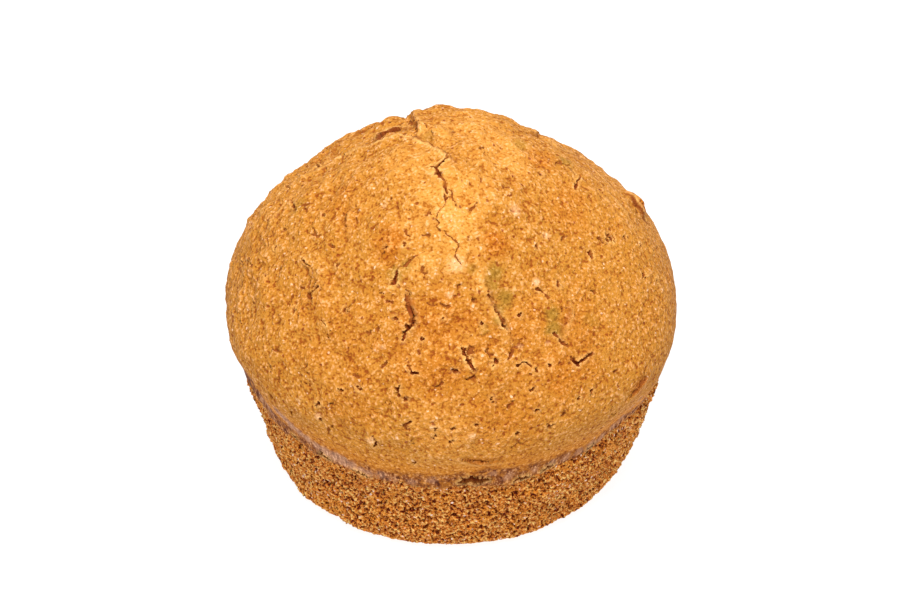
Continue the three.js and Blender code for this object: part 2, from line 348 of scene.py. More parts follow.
def nearest_row(points: np.ndarray, rows: np.ndarray, reach: float) -> tuple[np.ndarray, np.ndarray]:
    """Finds the row of a path that is nearest to each point.

    Args:
        points: The points.
        rows: The path, whose rows start with x, y and z.
        reach: Points farther than this from the path's box are left out.

    Returns:
        The distance of each point, infinite where it is left out, and its row's number.
    """
    low, high = rows[:, :3].min(axis=0) - reach, rows[:, :3].max(axis=0) + reach
    inside = np.flatnonzero(np.all((points > low) & (points < high), axis=1))
    distance = np.full(len(points), np.inf)
    number = np.zeros(len(points), dtype=int)
    gaps = np.linalg.norm(points[inside, None, :] - rows[None, :, :3], axis=2)
    number[inside] = gaps.argmin(axis=1)
    distance[inside] = gaps.min(axis=1)
    return distance, number


def nearest_edge(points: np.ndarray, rows: np.ndarray) -> tuple[np.ndarray, np.ndarray]:
    """Finds the crack whose edge is nearest to each point.

    Args:
        points: The points.
        rows: The rows of all paths, with x, y, z and the width.

    Returns:
        The distance of each point from that crack's middle, and its row's number.
    """
    block, reach = 60, 2.0
    gap = np.full(len(points), np.inf)
    row = np.zeros(len(points), dtype=int)
    for start in range(0, len(rows), block):
        part_gap, part_row = nearest_row(points, rows[start:start + block], reach)
        better = part_gap - 0.5 * rows[start + part_row, 3] < gap - 0.5 * rows[row, 3]
        gap[better] = part_gap[better]
        row[better] = start + part_row[better]
    return gap, row


class Skin:
    """The vertices of a piece in millimetres, for the moves that a hand would make."""

    def __init__(self, piece: Piece) -> None:
        """Reads the vertices of a piece.

        Args:
            piece: The mesh object.
        """
        self.piece = piece
        self.points = vectors(piece.data.vertices, "co") / MM
        self.normals = vectors(piece.data.vertices, "normal")

    @property
    def azimuth(self) -> np.ndarray:
        """The azimuth of every vertex, in degrees."""
        return np.degrees(np.arctan2(self.points[:, 1], self.points[:, 0]))

    @property
    def height(self) -> np.ndarray:
        """The height of every vertex."""
        return self.points[:, 2]

    @property
    def from_axis(self) -> np.ndarray:
        """The distance of every vertex from the cake's axis."""
        return np.hypot(self.points[:, 0], self.points[:, 1])

    def distance_to(self, spot: Spot) -> np.ndarray:
        """Returns how far every vertex is from a place."""
        return np.linalg.norm(self.points - spot.on(self.piece), axis=1)

    def push(self, amount: np.ndarray) -> None:
        """Moves every vertex out along its normal, or in where the amount is below 0."""
        self.points += self.normals * amount[:, None]

    def widen(self, amount: np.ndarray) -> None:
        """Moves every vertex away from the axis, or towards it where the amount is below 0."""
        outward = self.points[:, :2] / np.maximum(self.from_axis, 1.0)[:, None]
        self.points[:, :2] += outward * amount[:, None]

    def settle(self) -> None:
        """Writes the vertices back, and reads the normals that they then have."""
        mesh = self.piece.data
        mesh.vertices.foreach_set("co", (self.points * MM).ravel())
        mesh.update()
        self.normals = vectors(mesh.vertices, "normal")

    def note(self, name: str, values: np.ndarray) -> None:
        """Keeps a value for every vertex as an attribute that materials can read."""
        attribute = self.piece.data.attributes.new(name, "FLOAT", "POINT")
        attribute.data.foreach_set("value", values.astype(np.float32))

    def weigh(self, name: str, weights: np.ndarray) -> None:
        """Keeps a weight for every vertex as a vertex group, in a number of steps.

        Args:
            name: The group's name.
            weights: The weights, from 0 to 1.
        """
        levels = 48
        group = self.piece.vertex_groups.new(name=name)
        rounded = np.rint(np.clip(weights, 0.0, 1.0) * levels).astype(int)
        for level in range(1, levels + 1):
            group.add(np.flatnonzero(rounded == level).tolist(), level / levels, "REPLACE")


# ---- Relief ----


class Surface(Enum):
    """The looks that a relief can have."""

    SOFT = "SOFT_NOISE"
    CREASED = "HARD_NOISE"


@dataclass(frozen=True)
class Relief:
    """One size of unevenness, laid on a piece by a displace modifier."""

    name: str
    size: float
    height: float
    group: str
    surface: Surface = Surface.SOFT
    octaves: int = 0
    level: float = 0.5
    cut: tuple[float, float] | None = None

    def lay_on(self, piece: Piece) -> None:
        """Moves the skin of a piece by this relief, as far as its vertex group lets it.

        Args:
            piece: The mesh object.
        """
        texture = bpy.data.textures.new(self.name, "CLOUDS")
        texture.noise_type = self.surface.value
        texture.noise_scale = self.size * MM
        texture.noise_depth = self.octaves
        if self.cut:
            texture.use_color_ramp = True
            low, high = texture.color_ramp.elements
            low.position, high.position = self.cut
            low.color, high.color = (0, 0, 0, 1), WHITE
        apply_modifier(piece, "DISPLACE", texture=texture, texture_coords="LOCAL",
                       strength=self.height * MM, mid_level=self.level, vertex_group=self.group)


OPEN_CRUMB = (
    Relief("ridges", 0.55, 0.5, "open", surface=Surface.CREASED, octaves=1, level=0.35),
    Relief("pores", 0.60, -0.75, "open", octaves=1, cut=(0.50, 0.72), level=0.0),
)
"""The ridges and pores of torn crumb."""


def open_pores(piece: Piece) -> Skin:
    """Opens the pores of torn crumb in a piece, and keeps how far they sink its skin, which the finish paints
    as shade.

    Args:
        piece: The piece, whose vertex group "open" limits them.

    Returns:
        The skin with its pores.
    """
    deepest, level = 0.9, 0.2
    before = Skin(piece)
    for relief in OPEN_CRUMB:
        relief.lay_on(piece)
    skin = Skin(piece)
    sunk = np.einsum("ij,ij->i", before.points - skin.points, before.normals)
    # the finish paints the pores darker by how far they sink: painted shade
    skin.note("sink", np.clip(sunk / deepest + level, 0.0, 1.0))
    return skin


@dataclass(frozen=True)
class Contour:
    """A height that wanders round the cake, by knots of azimuth in degrees and height."""

    knots: tuple[tuple[float, float], ...]

    def at(self, azimuth: np.ndarray) -> np.ndarray:
        """Works out the height on smooth stretches between the knots.

        Args:
            azimuth: The azimuths, in degrees.

        Returns:
            The height at each of them.
        """
        turns, heights = np.array(self.knots).T
        turns = np.concatenate((turns[-1:] - 360.0, turns, turns[:1] + 360.0))
        heights = np.concatenate((heights[-1:], heights, heights[:1]))
        step = np.clip(np.searchsorted(turns, azimuth) - 1, 0, len(turns) - 2)
        share = smooth((azimuth - turns[step]) / (turns[step + 1] - turns[step]), 0.0, 1.0)
        return heights[step] + share * (heights[step + 1] - heights[step])


@dataclass(frozen=True)
class Swelling:
    """A round bump of the crust, or a hollow where its rise is below 0."""

    at: Spot
    radius: float
    rise: float

    def lay_on(self, skin: Skin) -> None:
        """Raises the skin round its middle."""
        skin.push(self.rise * fading(skin.distance_to(self.at), 0.0, self.radius))


@dataclass(frozen=True)
class Patch:
    """A place where the crust has another colour, fading out over its radius."""

    at: Spot
    radius: float
    strength: float

    def shade(self, skin: Skin, ragged: np.ndarray) -> np.ndarray:
        """Works out how strongly the patch shows.

        Args:
            skin: The vertices of the piece.
            ragged: A factor for the distance at every vertex, which gives the patch its edge.

        Returns:
            A share from 0 to 1 for every vertex.
        """
        distance = skin.distance_to(self.at) * ragged
        return self.strength * fading(distance, 0.25 * self.radius, self.radius)


@dataclass(frozen=True)
class Ledge:
    """A step of the crust: walking along its course, the left side stands above the right one."""

    course: tuple[tuple[Spot, float], ...]
    rise: float
    drop: float
    reach: float
    # how strongly the painted shade at the foot and the painted highlight along the upper edge show
    shade: float = 0.6
    step: float = 0.25

    def path(self, piece: Piece) -> tuple[np.ndarray, np.ndarray]:
        """Lays the ledge out on a piece.

        Args:
            piece: The piece that it runs over.

        Returns:
            Rows of x, y, z and strength along it, and the heading at each row.
        """
        knots = [np.array((*spot.on(piece), share)) for spot, share in self.course]
        rows, ahead = [], []
        for start, end in zip(knots, knots[1:]):
            length = float(np.linalg.norm(end[:3] - start[:3]))
            for share in np.arange(0.0, 1.0, min(1.0, self.step / length)):
                rows.append(start + (end - start) * share)
                ahead.append((end[:3] - start[:3]) / length)
        path = np.array(rows)
        path[:, :3] += 0.35 * wander(path[:, :3], 1.4, (2.0, 6.0, 9.0))
        return path, np.array(ahead)

    def lay_on(self, skin: Skin) -> tuple[np.ndarray, np.ndarray]:
        """Raises the skin on the left of the course and lowers it on the right.

        Args:
            skin: The vertices of the piece.

        Returns:
            How strongly the painted shade at its foot and the painted highlight on its upper edge show at
            every vertex.
        """
        path, headings = self.path(skin.piece)
        distance, row = nearest_row(skin.points, path, self.reach)
        near = np.flatnonzero(distance < self.reach)
        offset = skin.points[near] - path[row[near], :3]
        left = np.cross(skin.normals[near], headings[row[near]])
        aside = np.einsum("ij,ij->i", left, offset)
        side = np.clip(aside / 0.16, -1.0, 1.0)
        strength = path[row[near], 3]
        fade = strength * fading(distance[near], 0.0, self.reach)
        amount, foot, brink = np.zeros((3, len(skin.points)))
        amount[near] = fade * np.where(side > 0.0, self.rise * side, self.drop * side)
        # painted shade in the crease at the step's foot, painted highlight along its upper edge
        foot[near] = self.shade * strength * bell(aside, -0.06, 0.34)
        brink[near] = self.shade * strength * bell(aside, 0.60, 0.26)
        skin.push(amount)
        skin.settle()
        return foot, brink


@dataclass(frozen=True)
class Fissure:
    """A crack: the places it runs through, each with its width and depth there."""

    course: tuple[tuple[Spot, float, float], ...]
    lip: float = 0.12
    stray: float = 0.28
    uneven: float = 1.0
    step: float = 0.15

    def path(self, piece: Piece) -> np.ndarray:
        """Lays the crack out on a piece.

        Args:
            piece: The piece that it opens in.

        Returns:
            Rows of x, y, z, width and depth along it.
        """
        knots = [np.array((*spot.on(piece), wide, deep)) for spot, wide, deep in self.course]
        rows = []
        for start, end in zip(knots, knots[1:]):
            count = max(2, round(np.linalg.norm(end[:3] - start[:3]) / self.step))
            rows.extend(start + (end - start) * share for share in np.arange(count) / count)
        rows = np.array([*rows, knots[-1]])
        rows[:, :3] += wander(rows[:, :3], 0.9, (3.0, 5.0, 8.0)) * self.stray
        rows[:, 3] *= 1.0 + 0.9 * self.uneven * grain(rows[:, :3], 1.3, 1.0)
        rows[:, 4] *= 1.0 + 0.7 * self.uneven * grain(rows[:, :3], 1.7, 7.0)
        lay_down(piece, rows)
        return rows


@dataclass(frozen=True)
class Pit:
    """A small open pore, a little longer than wide."""

    at: Spot
    width: float
    depth: float
    lip: float = 0.12

    def path(self, piece: Piece) -> np.ndarray:
        """Lays the pore out on a piece.

        Args:
            piece: The piece that it opens in.

        Returns:
            Two rows of x, y, z, width and depth, the second one narrower and aside.
        """
        place = self.at.on(piece)
        aside = wander(place[None], 0.9, (4.0, 10.0, 17.0))[0]
        aside *= 0.7 * self.width / max(float(np.linalg.norm(aside)), 0.05)
        return np.array([(*place, self.width, self.depth), (*(place + aside), 0.55 * self.width, self.depth)])


# ---- Cages ----


@dataclass(frozen=True)
class Ring:
    """One ring of a turned shape."""

    radius: float
    height: float


def bend(controls: Sequence[tuple[float, float]], spacing: float) -> list[Ring]:
    """Spaces rings along a Bezier curve.

    Args:
        controls: Its control points, each a radius and a height.
        spacing: The distance between two rings.

    Returns:
        The rings, without the one at the curve's end.
    """
    parts = 200

    def at(share: float, rest: list[Vector]) -> Vector:
        """Returns the point at one share of the curve."""
        nearer = [first.lerp(second, share) for first, second in zip(rest, rest[1:])]
        return at(share, nearer) if nearer else rest[0]

    fine = [at(part / parts, [Vector(control) for control in controls]) for part in range(parts + 1)]
    along = np.concatenate(([0.0], np.cumsum([(b - a).length for a, b in zip(fine, fine[1:])])))
    count = max(1, round(along[-1] / spacing))
    wanted = np.arange(count) / count * along[-1]
    radii, heights = (np.interp(wanted, along, values) for values in zip(*fine))
    return [Ring(radius, height) for radius, height in zip(radii, heights)]


def turned_cage(name: str, rings: Sequence[Ring], sides: int) -> Piece:
    """Models an open turned shape from a circle that is extruded ring by ring.

    Args:
        name: The piece's name.
        rings: The rings from the lowest up.
        sides: The number of vertices in a ring.

    Returns:
        The piece, open at both ends, with its place in its mesh.
    """
    first = rings[0]
    bpy.ops.object.select_all(action="DESELECT")
    bpy.ops.mesh.primitive_circle_add(
        vertices=sides, radius=first.radius * MM, location=(0, 0, first.height * MM)
    )
    piece = bpy.context.active_object
    piece.name = piece.data.name = name
    bpy.ops.object.transform_apply(location=True, rotation=False, scale=False)
    with edit_mode(piece):
        bpy.context.tool_settings.mesh_select_mode = (True, False, False)
        bpy.ops.mesh.select_all(action="SELECT")
        for below, above in zip(rings, rings[1:]):
            lift = (0, 0, (above.height - below.height) * MM)
            bpy.ops.mesh.extrude_region_move(TRANSFORM_OT_translate={"value": lift})
            ratio = above.radius / below.radius
            centre = (0, 0, above.height * MM)
            bpy.ops.transform.resize(value=(ratio, ratio, 1), center_override=centre)
    return piece


def close_ends(piece: Piece) -> None:
    """Closes every open ring of a piece with one flat face, and turns all faces outwards.

    Args:
        piece: The mesh object.
    """
    with edit_mode(piece):
        bpy.context.tool_settings.mesh_select_mode = (False, True, False)
        bpy.ops.mesh.select_all(action="DESELECT")
        bpy.ops.mesh.select_non_manifold()
        bpy.ops.mesh.edge_face_add()
        bpy.ops.mesh.select_all(action="SELECT")
        bpy.ops.mesh.normals_make_consistent(inside=False)


# ---- The cake's form ----


@dataclass(frozen=True)
class Form:
    """The smooth form of the whole cake, as radii and heights."""

    peak: float
    rim_radius: float
    rim_height: float = 30.2
    flat_radius: float = 27.2
    foot_round: float = 2.9
    wall_top: tuple[float, float] = (34.4, 18.1)
    band_foot: tuple[float, float] = (35.1, 18.8)
    band_bulge: tuple[float, float] = (35.2, 21.6)
    crust_edge: tuple[float, float] = (35.9, 22.8)
    rim_bulge_height: float = 26.4
    shoulder: float = 10.8
    crown: float = 16.4
    tuck: float = 5.0
    inset: float = 0.2

    @classmethod
    def from_frame(cls) -> "Form":
        """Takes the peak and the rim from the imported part's box.

        Returns:
            The form.
        """
        low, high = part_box(NODE)
        relief = 0.5
        width = (high[0] - low[0] + high[1] - low[1]) / 4 / MM
        return cls(peak=high[2] / MM - relief, rim_radius=round(width, 1) - relief / 4)

    def crust_rings(self, spacing: float) -> list[Ring]:
        """Spaces the rings of the crust, from the band's torn foot up to the peak.

        Args:
            spacing: The distance between two rings.

        Returns:
            The rings.
        """
        rim = (self.rim_radius, self.rim_height)
        shoulder = (self.rim_radius, self.rim_height + self.shoulder)
        stretches = (
            (self.band_foot, self.band_bulge, self.crust_edge),
            (self.crust_edge, (self.rim_radius, self.rim_bulge_height), rim),
            (rim, shoulder, (self.crown, self.peak), (0, self.peak)),
        )
        return [ring for stretch in stretches for ring in bend(stretch, spacing)]

    def crumb_rings(self, spacing: float) -> list[Ring]:
        """Spaces the rings of the crumb, from the underside up to inside the crust.

        Args:
            spacing: The distance between two rings.

        Returns:
            The rings.
        """
        foot_edge = (self.flat_radius + self.foot_round, self.foot_round)
        top = (self.wall_top[0] - self.inset, self.wall_top[1] + self.tuck)
        stretches = (
            ((self.flat_radius, 0.0), (foot_edge[0] - self.inset, 0.0), foot_edge),
            (foot_edge, self.wall_top),
            (self.wall_top, top),
        )
        return [ring for stretch in stretches for ring in bend(stretch, spacing)] + [Ring(*top)]


# ---- Finishes ----


def linear(tone: Tone) -> tuple[float, float, float, float]:
    """Turns a colour seen on a screen into the light it stands for.

    Args:
        tone: Red, green and blue from 0 to 255.

    Returns:
        The same colour for a shader, with an alpha of 1.
    """
    parts = [value / 255 for value in tone]
    light = [part / 12.92 if part <= 0.04045 else ((part + 0.055) / 1.055) ** 2.4 for part in parts]
    return (*light, 1.0)


class Recipe:
    """A node material in the making, round one Principled shader."""

    gloss = 0.12
    """The strength of the gloss, the same all over a piece."""

    def __init__(self, name: str) -> None:
        """Starts an empty material.

        Args:
            name: Its name.
        """
        self.material = bpy.data.materials.new(name)
        self.material.use_nodes = True
        self.tree = self.material.node_tree
        self.place = self.node("TexCoord").outputs["Object"]

    def node(
        self, kind: str, feeds: dict[str | int, object] | None = None, **settings: object
    ) -> bpy.types.Node:
        """Adds a node.

        Args:
            kind: The node's type, without its ShaderNode prefix.
            feeds: What its inputs get, by name or number.
            settings: Its properties by name.

        Returns:
            The node.
        """
        made = self.tree.nodes.new("ShaderNode" + kind)
        for name, value in settings.items():
            setattr(made, name, value)
        self.feed(made, feeds or {})
        return made

    def feed(self, node: bpy.types.Node, feeds: dict[str | int, object]) -> None:
        """Gives inputs of a node their values.

        Args:
            node: The node.
            feeds: Another node's socket, a number, a vector or a tone for each input, by name or number.
        """
        for name, source in feeds.items():
            if isinstance(source, Socket):
                self.tree.links.new(source, node.inputs[name])
            else:
                node.inputs[name].default_value = linear(source) if isinstance(source, tuple) else source

    def warped(self, size: float, amount: float) -> Socket:
        """Pushes the place on the piece about, so that what is read there gets uneven edges.

        Args:
            size: The size of the swirls that push it.
            amount: How far they push it.

        Returns:
            The pushed place.
        """
        swirls = self.node("TexNoise", {"Vector": self.place, "Scale": 1.0 / (size * MM)})
        middle, reach = Vector((0.5, 0.5, 0.5)), Vector((2 * amount * MM,) * 3)
        centred = self.node("VectorMath", {0: swirls.outputs["Color"], 1: middle}, operation="SUBTRACT")
        feeds = {0: centred.outputs["Vector"], 1: reach, 2: self.place}
        return self.node("VectorMath", feeds, operation="MULTIPLY_ADD").outputs["Vector"]

    def noise(self, size: float, detail: float = 2.0, roughness: float = 0.5, upwards: float = 1.0) -> Socket:
        """Adds soft noise.

        Args:
            size: The size of its lumps.
            detail: How many finer sizes it adds.
            roughness: How strong those are.
            upwards: How fast it changes upwards, against how fast it does sideways.

        Returns:
            The noise, from 0 to 1.
        """
        place = self.place
        if upwards != 1.0:
            scale = Vector((1.0, 1.0, upwards))
            place = self.node("Mapping", {"Vector": place, "Scale": scale}).outputs["Vector"]
        feeds = {"Vector": place, "Scale": 1.0 / (size * MM), "Detail": detail, "Roughness": roughness}
        return self.node("TexNoise", feeds).outputs["Fac"]

    def cells(self, spacing: float, place: Socket) -> bpy.types.NodeOutputs:
        """Packs round cells side by side, and returns what is known of them at a place."""
        return self.node("TexVoronoi", {"Vector": place, "Scale": 1.0 / (spacing * MM)}).outputs

    def packed(self, spacing: float, place: Socket) -> Socket:
        """Packs round grains side by side: 1 in the middle of a grain, falling to 0 between them."""
        return self.spread(self.cells(spacing, place)["Distance"], 0.72, 0.18)

    def specks(self, spacing: float, radius: float, share: float, place: Socket) -> Socket:
        """Scatters round specks.

        Args:
            spacing: The distance between neighbouring specks.
            radius: The radius of a speck.
            share: The share of them that shows.
            place: Where they are read.

        Returns:
            1 in the middle of a speck, and 0 beside it.
        """
        cells = self.cells(spacing, place)
        near = self.between(cells["Distance"], radius / spacing, 0.35 * radius / spacing)
        draw = self.node("SeparateColor", {"Color": cells["Color"]})
        return self.times(near, self.maths("LESS_THAN", draw.outputs["Red"], share))

    def kept(self, name: str) -> Socket:
        """Returns a value that the piece keeps for every vertex."""
        return self.node("Attribute", attribute_name=name).outputs["Fac"]

    def maths(self, operation: str, *values: Socket | float, clamp: bool = False) -> Socket:
        """Returns a sum or other result of some values, held within 0 and 1 if asked."""
        return self.node("Math", dict(enumerate(values)), operation=operation, use_clamp=clamp).outputs[0]

    def times(self, first: Socket | float, second: Socket | float) -> Socket:
        """Returns the product of two values."""
        return self.maths("MULTIPLY", first, second)

    def spread(self, value: Socket, low: float, high: float, rise: str = "LINEAR") -> Socket:
        """Returns 0 up to the low value, 1 from the high one on, and a straight or other rise between."""
        feeds = {"Value": value, "From Min": low, "From Max": high}
        return self.node("MapRange", feeds, interpolation_type=rise).outputs["Result"]

    def between(self, value: Socket, low: float, high: float) -> Socket:
        """Returns 0 up to the low value, 1 from the high one on, and a smooth rise between."""
        return self.spread(value, low, high, "SMOOTHSTEP")

    def lay(self, colour: Socket | Tone, *layers: tuple[Socket, Socket | Tone]) -> Socket:
        """Lays colours over one another.

        Args:
            colour: The lowest colour.
            layers: How much of each one above it shows, and that colour.

        Returns:
            The colour that is seen.
        """
        for share, above in layers:
            colour = self.node("Mix", {0: share, 6: colour, 7: above}, data_type="RGBA").outputs[2]
        return colour

    def bump(self, height: Socket, depth: float, below: Socket | None = None) -> Socket:
        """Adds relief too fine for the mesh.

        Args:
            height: The height, from 0 to 1.
            depth: How deep the whole range is.
            below: The normal it is added to, or None for the mesh's own.

        Returns:
            The normal.
        """
        feeds = {"Distance": depth * MM, "Height": height} | ({"Normal": below} if below else {})
        return self.node("Bump", feeds).outputs["Normal"]

    def finish(self, colour: Socket, roughness: Socket | float, normal: Socket) -> bpy.types.Material:
        """Joins everything to the shader.

        Args:
            colour: The colour.
            roughness: The roughness.
            normal: The normal, with the fine relief.

        Returns:
            The finished material.
        """
        shader = self.tree.nodes["Principled BSDF"]
        self.feed(shader, {"Base Color": colour, "Roughness": roughness, "Normal": normal})
        shader.inputs["Specular IOR Level"].default_value = self.gloss
        return self.material


@dataclass(frozen=True)
class Shades:
    """The tones of one zone's grain: its dark hollows, its body and its light grains; where they follow the
    relief they are painted shade and painted light.
    """

    dark: Tone
    body: Tone
    light: Tone


@dataclass(frozen=True)
class CrumbFinish:
    """Open crumb: orange ridges with pale flecks round dark, deep pores. The pores are painted darker the
    deeper they sink, as painted shade, and the flecks are painted highlights on the ridge tops.
    """

    ridge: Tone = (250, 199, 115)
    middle: Tone = (215, 124, 41)
    # painted shade down the pores
    pore: Tone = (114, 36, 10)
    # painted highlights on the ridge tops
    fleck: Tone = (255, 228, 218)
    amber: Tone = (238, 148, 40)

    def colours(self, recipe: Recipe) -> tuple[Socket, Socket]:
        """Mixes the colour of open crumb.

        Args:
            recipe: The material in the making, on a piece that keeps how far its skin sinks.

        Returns:
            The colour, and the grains that it follows.
        """
        grains = recipe.spread(recipe.noise(0.42, detail=1.0, roughness=0.45), 0.30, 0.70)
        # the grain and how far the pores sink: deep places get painted shade, shallow ones lighter
        depth = recipe.maths("ADD", recipe.times(grains, 0.85), recipe.times(recipe.kept("sink"), 0.8))
        patches = recipe.times(recipe.between(recipe.noise(4.0), 0.45, 0.7), 0.5)
        flecks = recipe.specks(1.02, 0.32, 0.6, recipe.warped(0.8, 0.4))
        colour = recipe.lay(
            self.ridge,
            (recipe.between(depth, 0.26, 0.68), self.middle),
            (patches, self.amber),
            (recipe.between(depth, 0.74, 1.08), self.pore),
            # painted highlights, only where the crumb stands high
            (recipe.times(flecks, recipe.between(depth, 0.80, 0.35)), self.fleck),
        )
        return colour, grains

    def make(self) -> bpy.types.Material:
        """Makes the material.

        Returns:
            The material.
        """
        recipe = Recipe("crumb_finish")
        colour, grains = self.colours(recipe)
        return recipe.finish(colour, 0.8, recipe.bump(recipe.maths("SUBTRACT", 1.0, grains), 0.2))


@dataclass(frozen=True)
class CrustFinish:
    """Golden-brown crust: grainy, dry, paler at the peak and greyer on the band, with painted shade in its
    cracks, pits, hollows and step feet, and painted highlights and sheen on step edges, flecks and the band's
    sides.
    """

    golden: Shades = Shades((146, 73, 18), (190, 125, 40), (229, 165, 106))
    pale: Shades = Shades((188, 114, 28), (220, 152, 68), (240, 180, 116))
    brown: Shades = Shades((136, 57, 8), (187, 107, 20), (230, 153, 76))
    olive: Shades = Shades((128, 88, 22), (160, 114, 36), (190, 144, 66))
    low: Shades = Shades((154, 77, 15), (202, 125, 33), (238, 165, 84))
    band: Shades = Shades((80, 32, 8), (128, 66, 22), (206, 142, 90))
    # painted sheen: the pale mauve that the band's sides show at a grazing view
    band_sheen: Shades = Shades((98, 56, 36), (164, 109, 77), (226, 174, 138))
    frost: Shades = Shades((206, 146, 96), (238, 186, 134), (254, 218, 182))
    # crack tones by depth: the brown of the broken crust, darker deeper as painted shade, and painted shade
    # alone in the deepest holes
    shallow: Tone = (150, 82, 28)
    deep: Tone = (132, 56, 16)
    hollow: Tone = (100, 36, 10)
    # painted shade at the foot of a step
    foot: Tone = (128, 62, 18)
    # the pale lips of cracks, also the painted highlight on the upper edges of steps
    lip: Tone = (250, 194, 116)
    # dark specks for small pits, partly painted shade in them
    pore: Tone = (132, 48, 8)
    # pale flecks, partly painted glints
    fleck: Tone = (252, 204, 164)

    def make(self) -> bpy.types.Material:
        """Makes the material.

        Returns:
            The material.
        """
        recipe = Recipe("crust_finish")
        medium = recipe.noise(0.85, roughness=0.6)
        uneven = recipe.warped(0.8, 0.45)
        patchy = recipe.spread(recipe.noise(1.5, detail=3.0, roughness=0.65), 0.28, 0.54)
        on_band = recipe.times(recipe.kept("band"), patchy)
        off_band = recipe.maths("SUBTRACT", 1.0, on_band)
        share = self.grained(recipe, medium, uneven, on_band, off_band)
        zones = self.zones(recipe, on_band)
        dark, body, light = (
            recipe.lay(getattr(self.golden, tone), *((zone, getattr(shades, tone)) for zone, shades in zones))
            for tone in ("dark", "body", "light")
        )
        # pale flecks, partly painted glints, and dark pit specks, partly painted shade
        flecks = recipe.times(recipe.specks(1.25, 0.28, 0.22, uneven), 0.75)
        pores = recipe.times(recipe.specks(1.45, 0.36, 0.42, uneven), 0.85)
        # painted highlight on the upper edges of steps, joined with the pale lips of cracks
        brink = recipe.maths("MAXIMUM", recipe.kept("brink"), recipe.kept("lip"))
        crack = recipe.kept("crack")
        colour = recipe.lay(
            dark,
            (recipe.between(share, 0.05, 0.45), body),
            (recipe.between(share, 0.50, 0.95), light),
            (recipe.times(flecks, off_band), self.fleck),
            (recipe.times(pores, off_band), self.pore),
            (recipe.kept("open"), CrumbFinish().colours(recipe)[0]),
            # a veil of painted sheen on the band's sides
            (recipe.times(recipe.kept("band_sheen"), 0.25), self.band_sheen.light),
            # pale crack lips with painted highlight on step edges, then painted shade at the feet of steps
            (recipe.times(brink, 0.6), self.lip),
            (recipe.kept("foot"), self.foot),
            # cracks painted darker the deeper they go: broken crust and painted shade
            (recipe.between(crack, 0.05, 0.30), self.shallow),
            (recipe.between(crack, 0.38, 0.66), self.deep),
            (recipe.between(crack, 0.80, 1.00), self.hollow),
        )
        height = recipe.maths("SUBTRACT", share, recipe.times(pores, 0.8))
        roughness = recipe.maths("MULTIPLY_ADD", share, -0.12, 0.80)
        return recipe.finish(colour, roughness, recipe.bump(height, 0.12, recipe.bump(medium, 0.45)))

    def grained(
        self, recipe: Recipe, medium: Socket, uneven: Socket, on_band: Socket, off_band: Socket
    ) -> Socket:
        """Mixes the grain of the crust from its sizes and the mesh's own relief, and streaks it on the band.
        Through the relief, raised places get painted light and sunk ones painted shade.

        Args:
            recipe: The material in the making.
            medium: Noise of the larger grains.
            uneven: The place on the piece, pushed about.
            on_band: Where the band is.
            off_band: Where it isn't.

        Returns:
            0 in the hollows and 1 on the grains.
        """
        fine = recipe.noise(0.40, detail=1.0, roughness=0.4)
        parts = (
            recipe.times(recipe.spread(fine, 0.33, 0.67), 0.34),
            recipe.times(recipe.spread(medium, 0.34, 0.66), 0.24),
            # painted light and shade: raised places lighter, sunk ones darker
            recipe.times(recipe.kept("rise"), 0.30),
        )
        level = recipe.times(recipe.packed(0.66, uneven), 0.44)
        for part in parts:
            level = recipe.maths("ADD", level, part)
        level = recipe.maths("SUBTRACT", level, 0.15, clamp=True)
        streaks = recipe.spread(recipe.noise(0.42, upwards=0.22), 0.36, 0.64)
        striped = recipe.maths("ADD", recipe.times(streaks, 0.70), recipe.times(level, 0.70))
        striped = recipe.maths("SUBTRACT", striped, 0.20, clamp=True)
        return recipe.maths("ADD", recipe.times(level, off_band), recipe.times(striped, on_band))

    def zones(self, recipe: Recipe, on_band: Socket) -> list[tuple[Socket, Shades]]:
        """Lists the zones that lie over the golden crust, from the lowest up.

        Args:
            recipe: The material in the making.
            on_band: Where the band is.

        Returns:
            The share and the shades of each zone.
        """
        mottling = recipe.times(recipe.maths("SUBTRACT", recipe.noise(5.0, detail=3.0), 0.52), 1.2)
        browned = recipe.maths("ADD", recipe.kept("brown"), mottling, clamp=True)
        paled = recipe.maths("ADD", recipe.kept("pale"), recipe.times(mottling, -0.7), clamp=True)
        return [
            (recipe.kept("low"), self.low),
            (browned, self.brown),
            (paled, self.pale),
            (recipe.kept("olive"), self.olive),
            (recipe.kept("frost"), self.frost),
            (on_band, self.band),
            (recipe.kept("band_sheen"), self.band_sheen),
        ]


# ---- The crust ----


TORN_EDGE = Contour((
    (-165, 19.9), (-152, 19.6), (-144, 19.2), (-135, 19.2), (-128, 18.5), (-121, 18.3), (-115, 17.8),
    (-111, 17.3), (-98, 17.2), (-92.5, 17.6), (-87, 18.2), (-80, 17.7), (-74.5, 17.2), (-70.5, 17.6),
    (-65, 18.1), (-61, 18.7), (-48.5, 18.9), (-42, 19.8), (-22, 20.2), (20, 20.6), (60, 21), (95, 20.8),
    (140, 21.1),
))
OPENED = Contour(((-180, 1), (-124, 1), (-116, 1.9), (-108, 2.4), (-98, 2.1), (-92, 1.1), (180, 1)))
"""How much farther up than elsewhere the band's skin is open."""
CRUST_EDGE = Contour((
    (-165, 25), (-148, 23.4), (-142, 23), (-134, 21.6), (-120, 21.6), (-109, 21.3), (-92.5, 21.6),
    (-86, 22.2), (-79.5, 23), (-74, 22.8), (-68, 21.9), (-56, 21.4), (-49, 21.1), (-42, 21.8), (-33, 22.5),
    (-18, 23.8), (30, 25.4), (80, 24.2), (135, 25.4),
))

TORN = {"stray": 0.12, "uneven": 0.3}
"""How far the slits in the band stray, and how uneven they are."""

